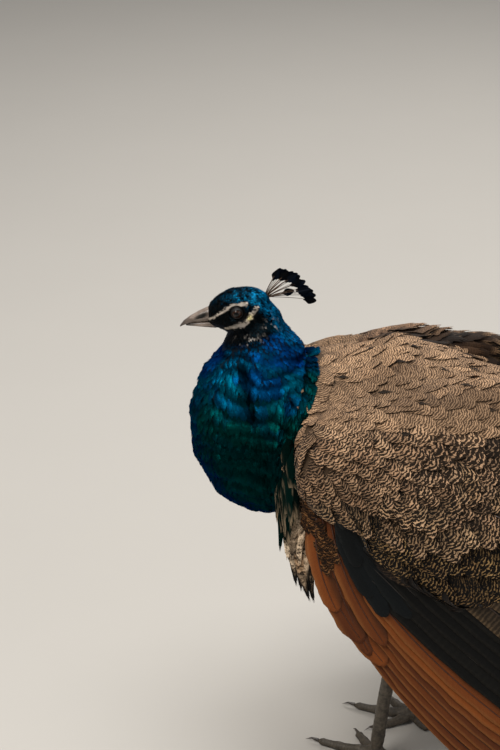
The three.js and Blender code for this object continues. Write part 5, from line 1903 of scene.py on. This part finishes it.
LID_SKIN = lid_material()
make_eyes()
make_lids()
lay_crest()
shaped_bill("upper_bill", [(-178, 519, 7, 7.2, 5.6), (-188, 519.5, 7, 8, 6.6), (-197, 517, 5.6, 6.2, 5.4), (-206, 513.5, 4.1, 4.2, 3.2),
                           (-213, 509.6, 2.5, 2.7, 1.7), (-216.6, 506.4, 0.8, 0.9, 0.7)], "bill_upper", rings=48, sides=44, nostril=True)
shaped_bill("lower_bill", [(-180, 509, 5.8, 4.4, 3.8), (-192, 509, 5.2, 3.8, 3.0), (-202, 508.6, 3.6, 2.6, 1.7), (-210.6, 508, 1.6, 1.2, 0.7)], "bill_lower", rings=20)


# ---------------------------------------------------------------------------------------------
# Claws keep their solids with a horn finish; skin and legs are one object


for node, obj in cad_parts.items():
    if node.startswith("claw"):
        obj.data.materials.clear()
        obj.data.materials.append(CLAW_HORN)

lone(skin)
legs.select_set(True)
bpy.ops.object.join()
skin.data.polygons.foreach_set("use_smooth", np.ones(len(skin.data.polygons), bool))
set_uv(skin, "OFBake", skin_unwrap(mesh_points(skin)))
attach(skin, "root")
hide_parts(*FLESH, *LEGS)


# ---------------------------------------------------------------------------------------------
# Floor, lights and camera


def matte(name, tone, rough):
    material = bpy.data.materials.new(name)
    material.use_nodes = True
    b = Bench(material.node_tree)
    body = material.node_tree.nodes["Principled BSDF"]
    grain = b.noise(b.object_place(), 6.0, 3.0, 0.5)
    b.feed(body.inputs["Base Color"], b.blend((*(tone * 0.97), 1), (*tone, 1), grain))
    body.inputs["Roughness"].default_value = rough
    return material


lone(skin)
bpy.ops.mesh.primitive_plane_add(size=60, location=(0, 0, 0))
floor = bpy.context.active_object
floor.name = "floor"
floor.data.materials.append(matte("pale_floor", colour("c9c4bc"), 0.85))


def softbox(name, place, target, size, power, tone):
    light = bpy.data.lights.new(name, "AREA")
    light.shape = "RECTANGLE"
    light.size, light.size_y = size
    light.energy = power
    light.color = tone
    obj = bpy.data.objects.new(name, light)
    obj.location = place
    obj.rotation_euler = (Vector(target) - Vector(place)).to_track_quat("-Z", "Y").to_euler()
    bpy.context.collection.objects.link(obj)


softbox("key_light", (-1.5, -1.1, 2.7), (-0.1, 0, 0.35), (1.3, 1.3), 46, (1.0, 0.97, 0.93))
softbox("fill_light", (1.9, -1.6, 1.5), (0, 0, 0.3), (1.8, 1.8), 9, (0.93, 0.96, 1.0))
softbox("back_light", (0.5, 2.2, 2.2), (0, 0, 0.4), (1.6, 1.2), 30, (1.0, 0.98, 0.95))
softbox("top_light", (-0.1, 0.0, 2.8), (0, 0, 0.3), (1.6, 1.6), 42, (1, 1, 1))

world = bpy.data.worlds.new("studio")
world.use_nodes = True
world.node_tree.nodes["Background"].inputs["Color"].default_value = (0.82, 0.83, 0.85, 1)
world.node_tree.nodes["Background"].inputs["Strength"].default_value = 0.2
bpy.context.scene.world = world
bpy.context.scene.view_settings.view_transform = "Standard"

lens = bpy.data.cameras.new("camera")
lens.lens = 100.56
lens.sensor_width = 36
camera = bpy.data.objects.new("camera", lens)
camera.location = bird_to_row((-146, -1920, 1400))
camera.rotation_euler = (math.radians(63.7), 0, 0)
bpy.context.collection.objects.link(camera)
bpy.context.scene.camera = camera
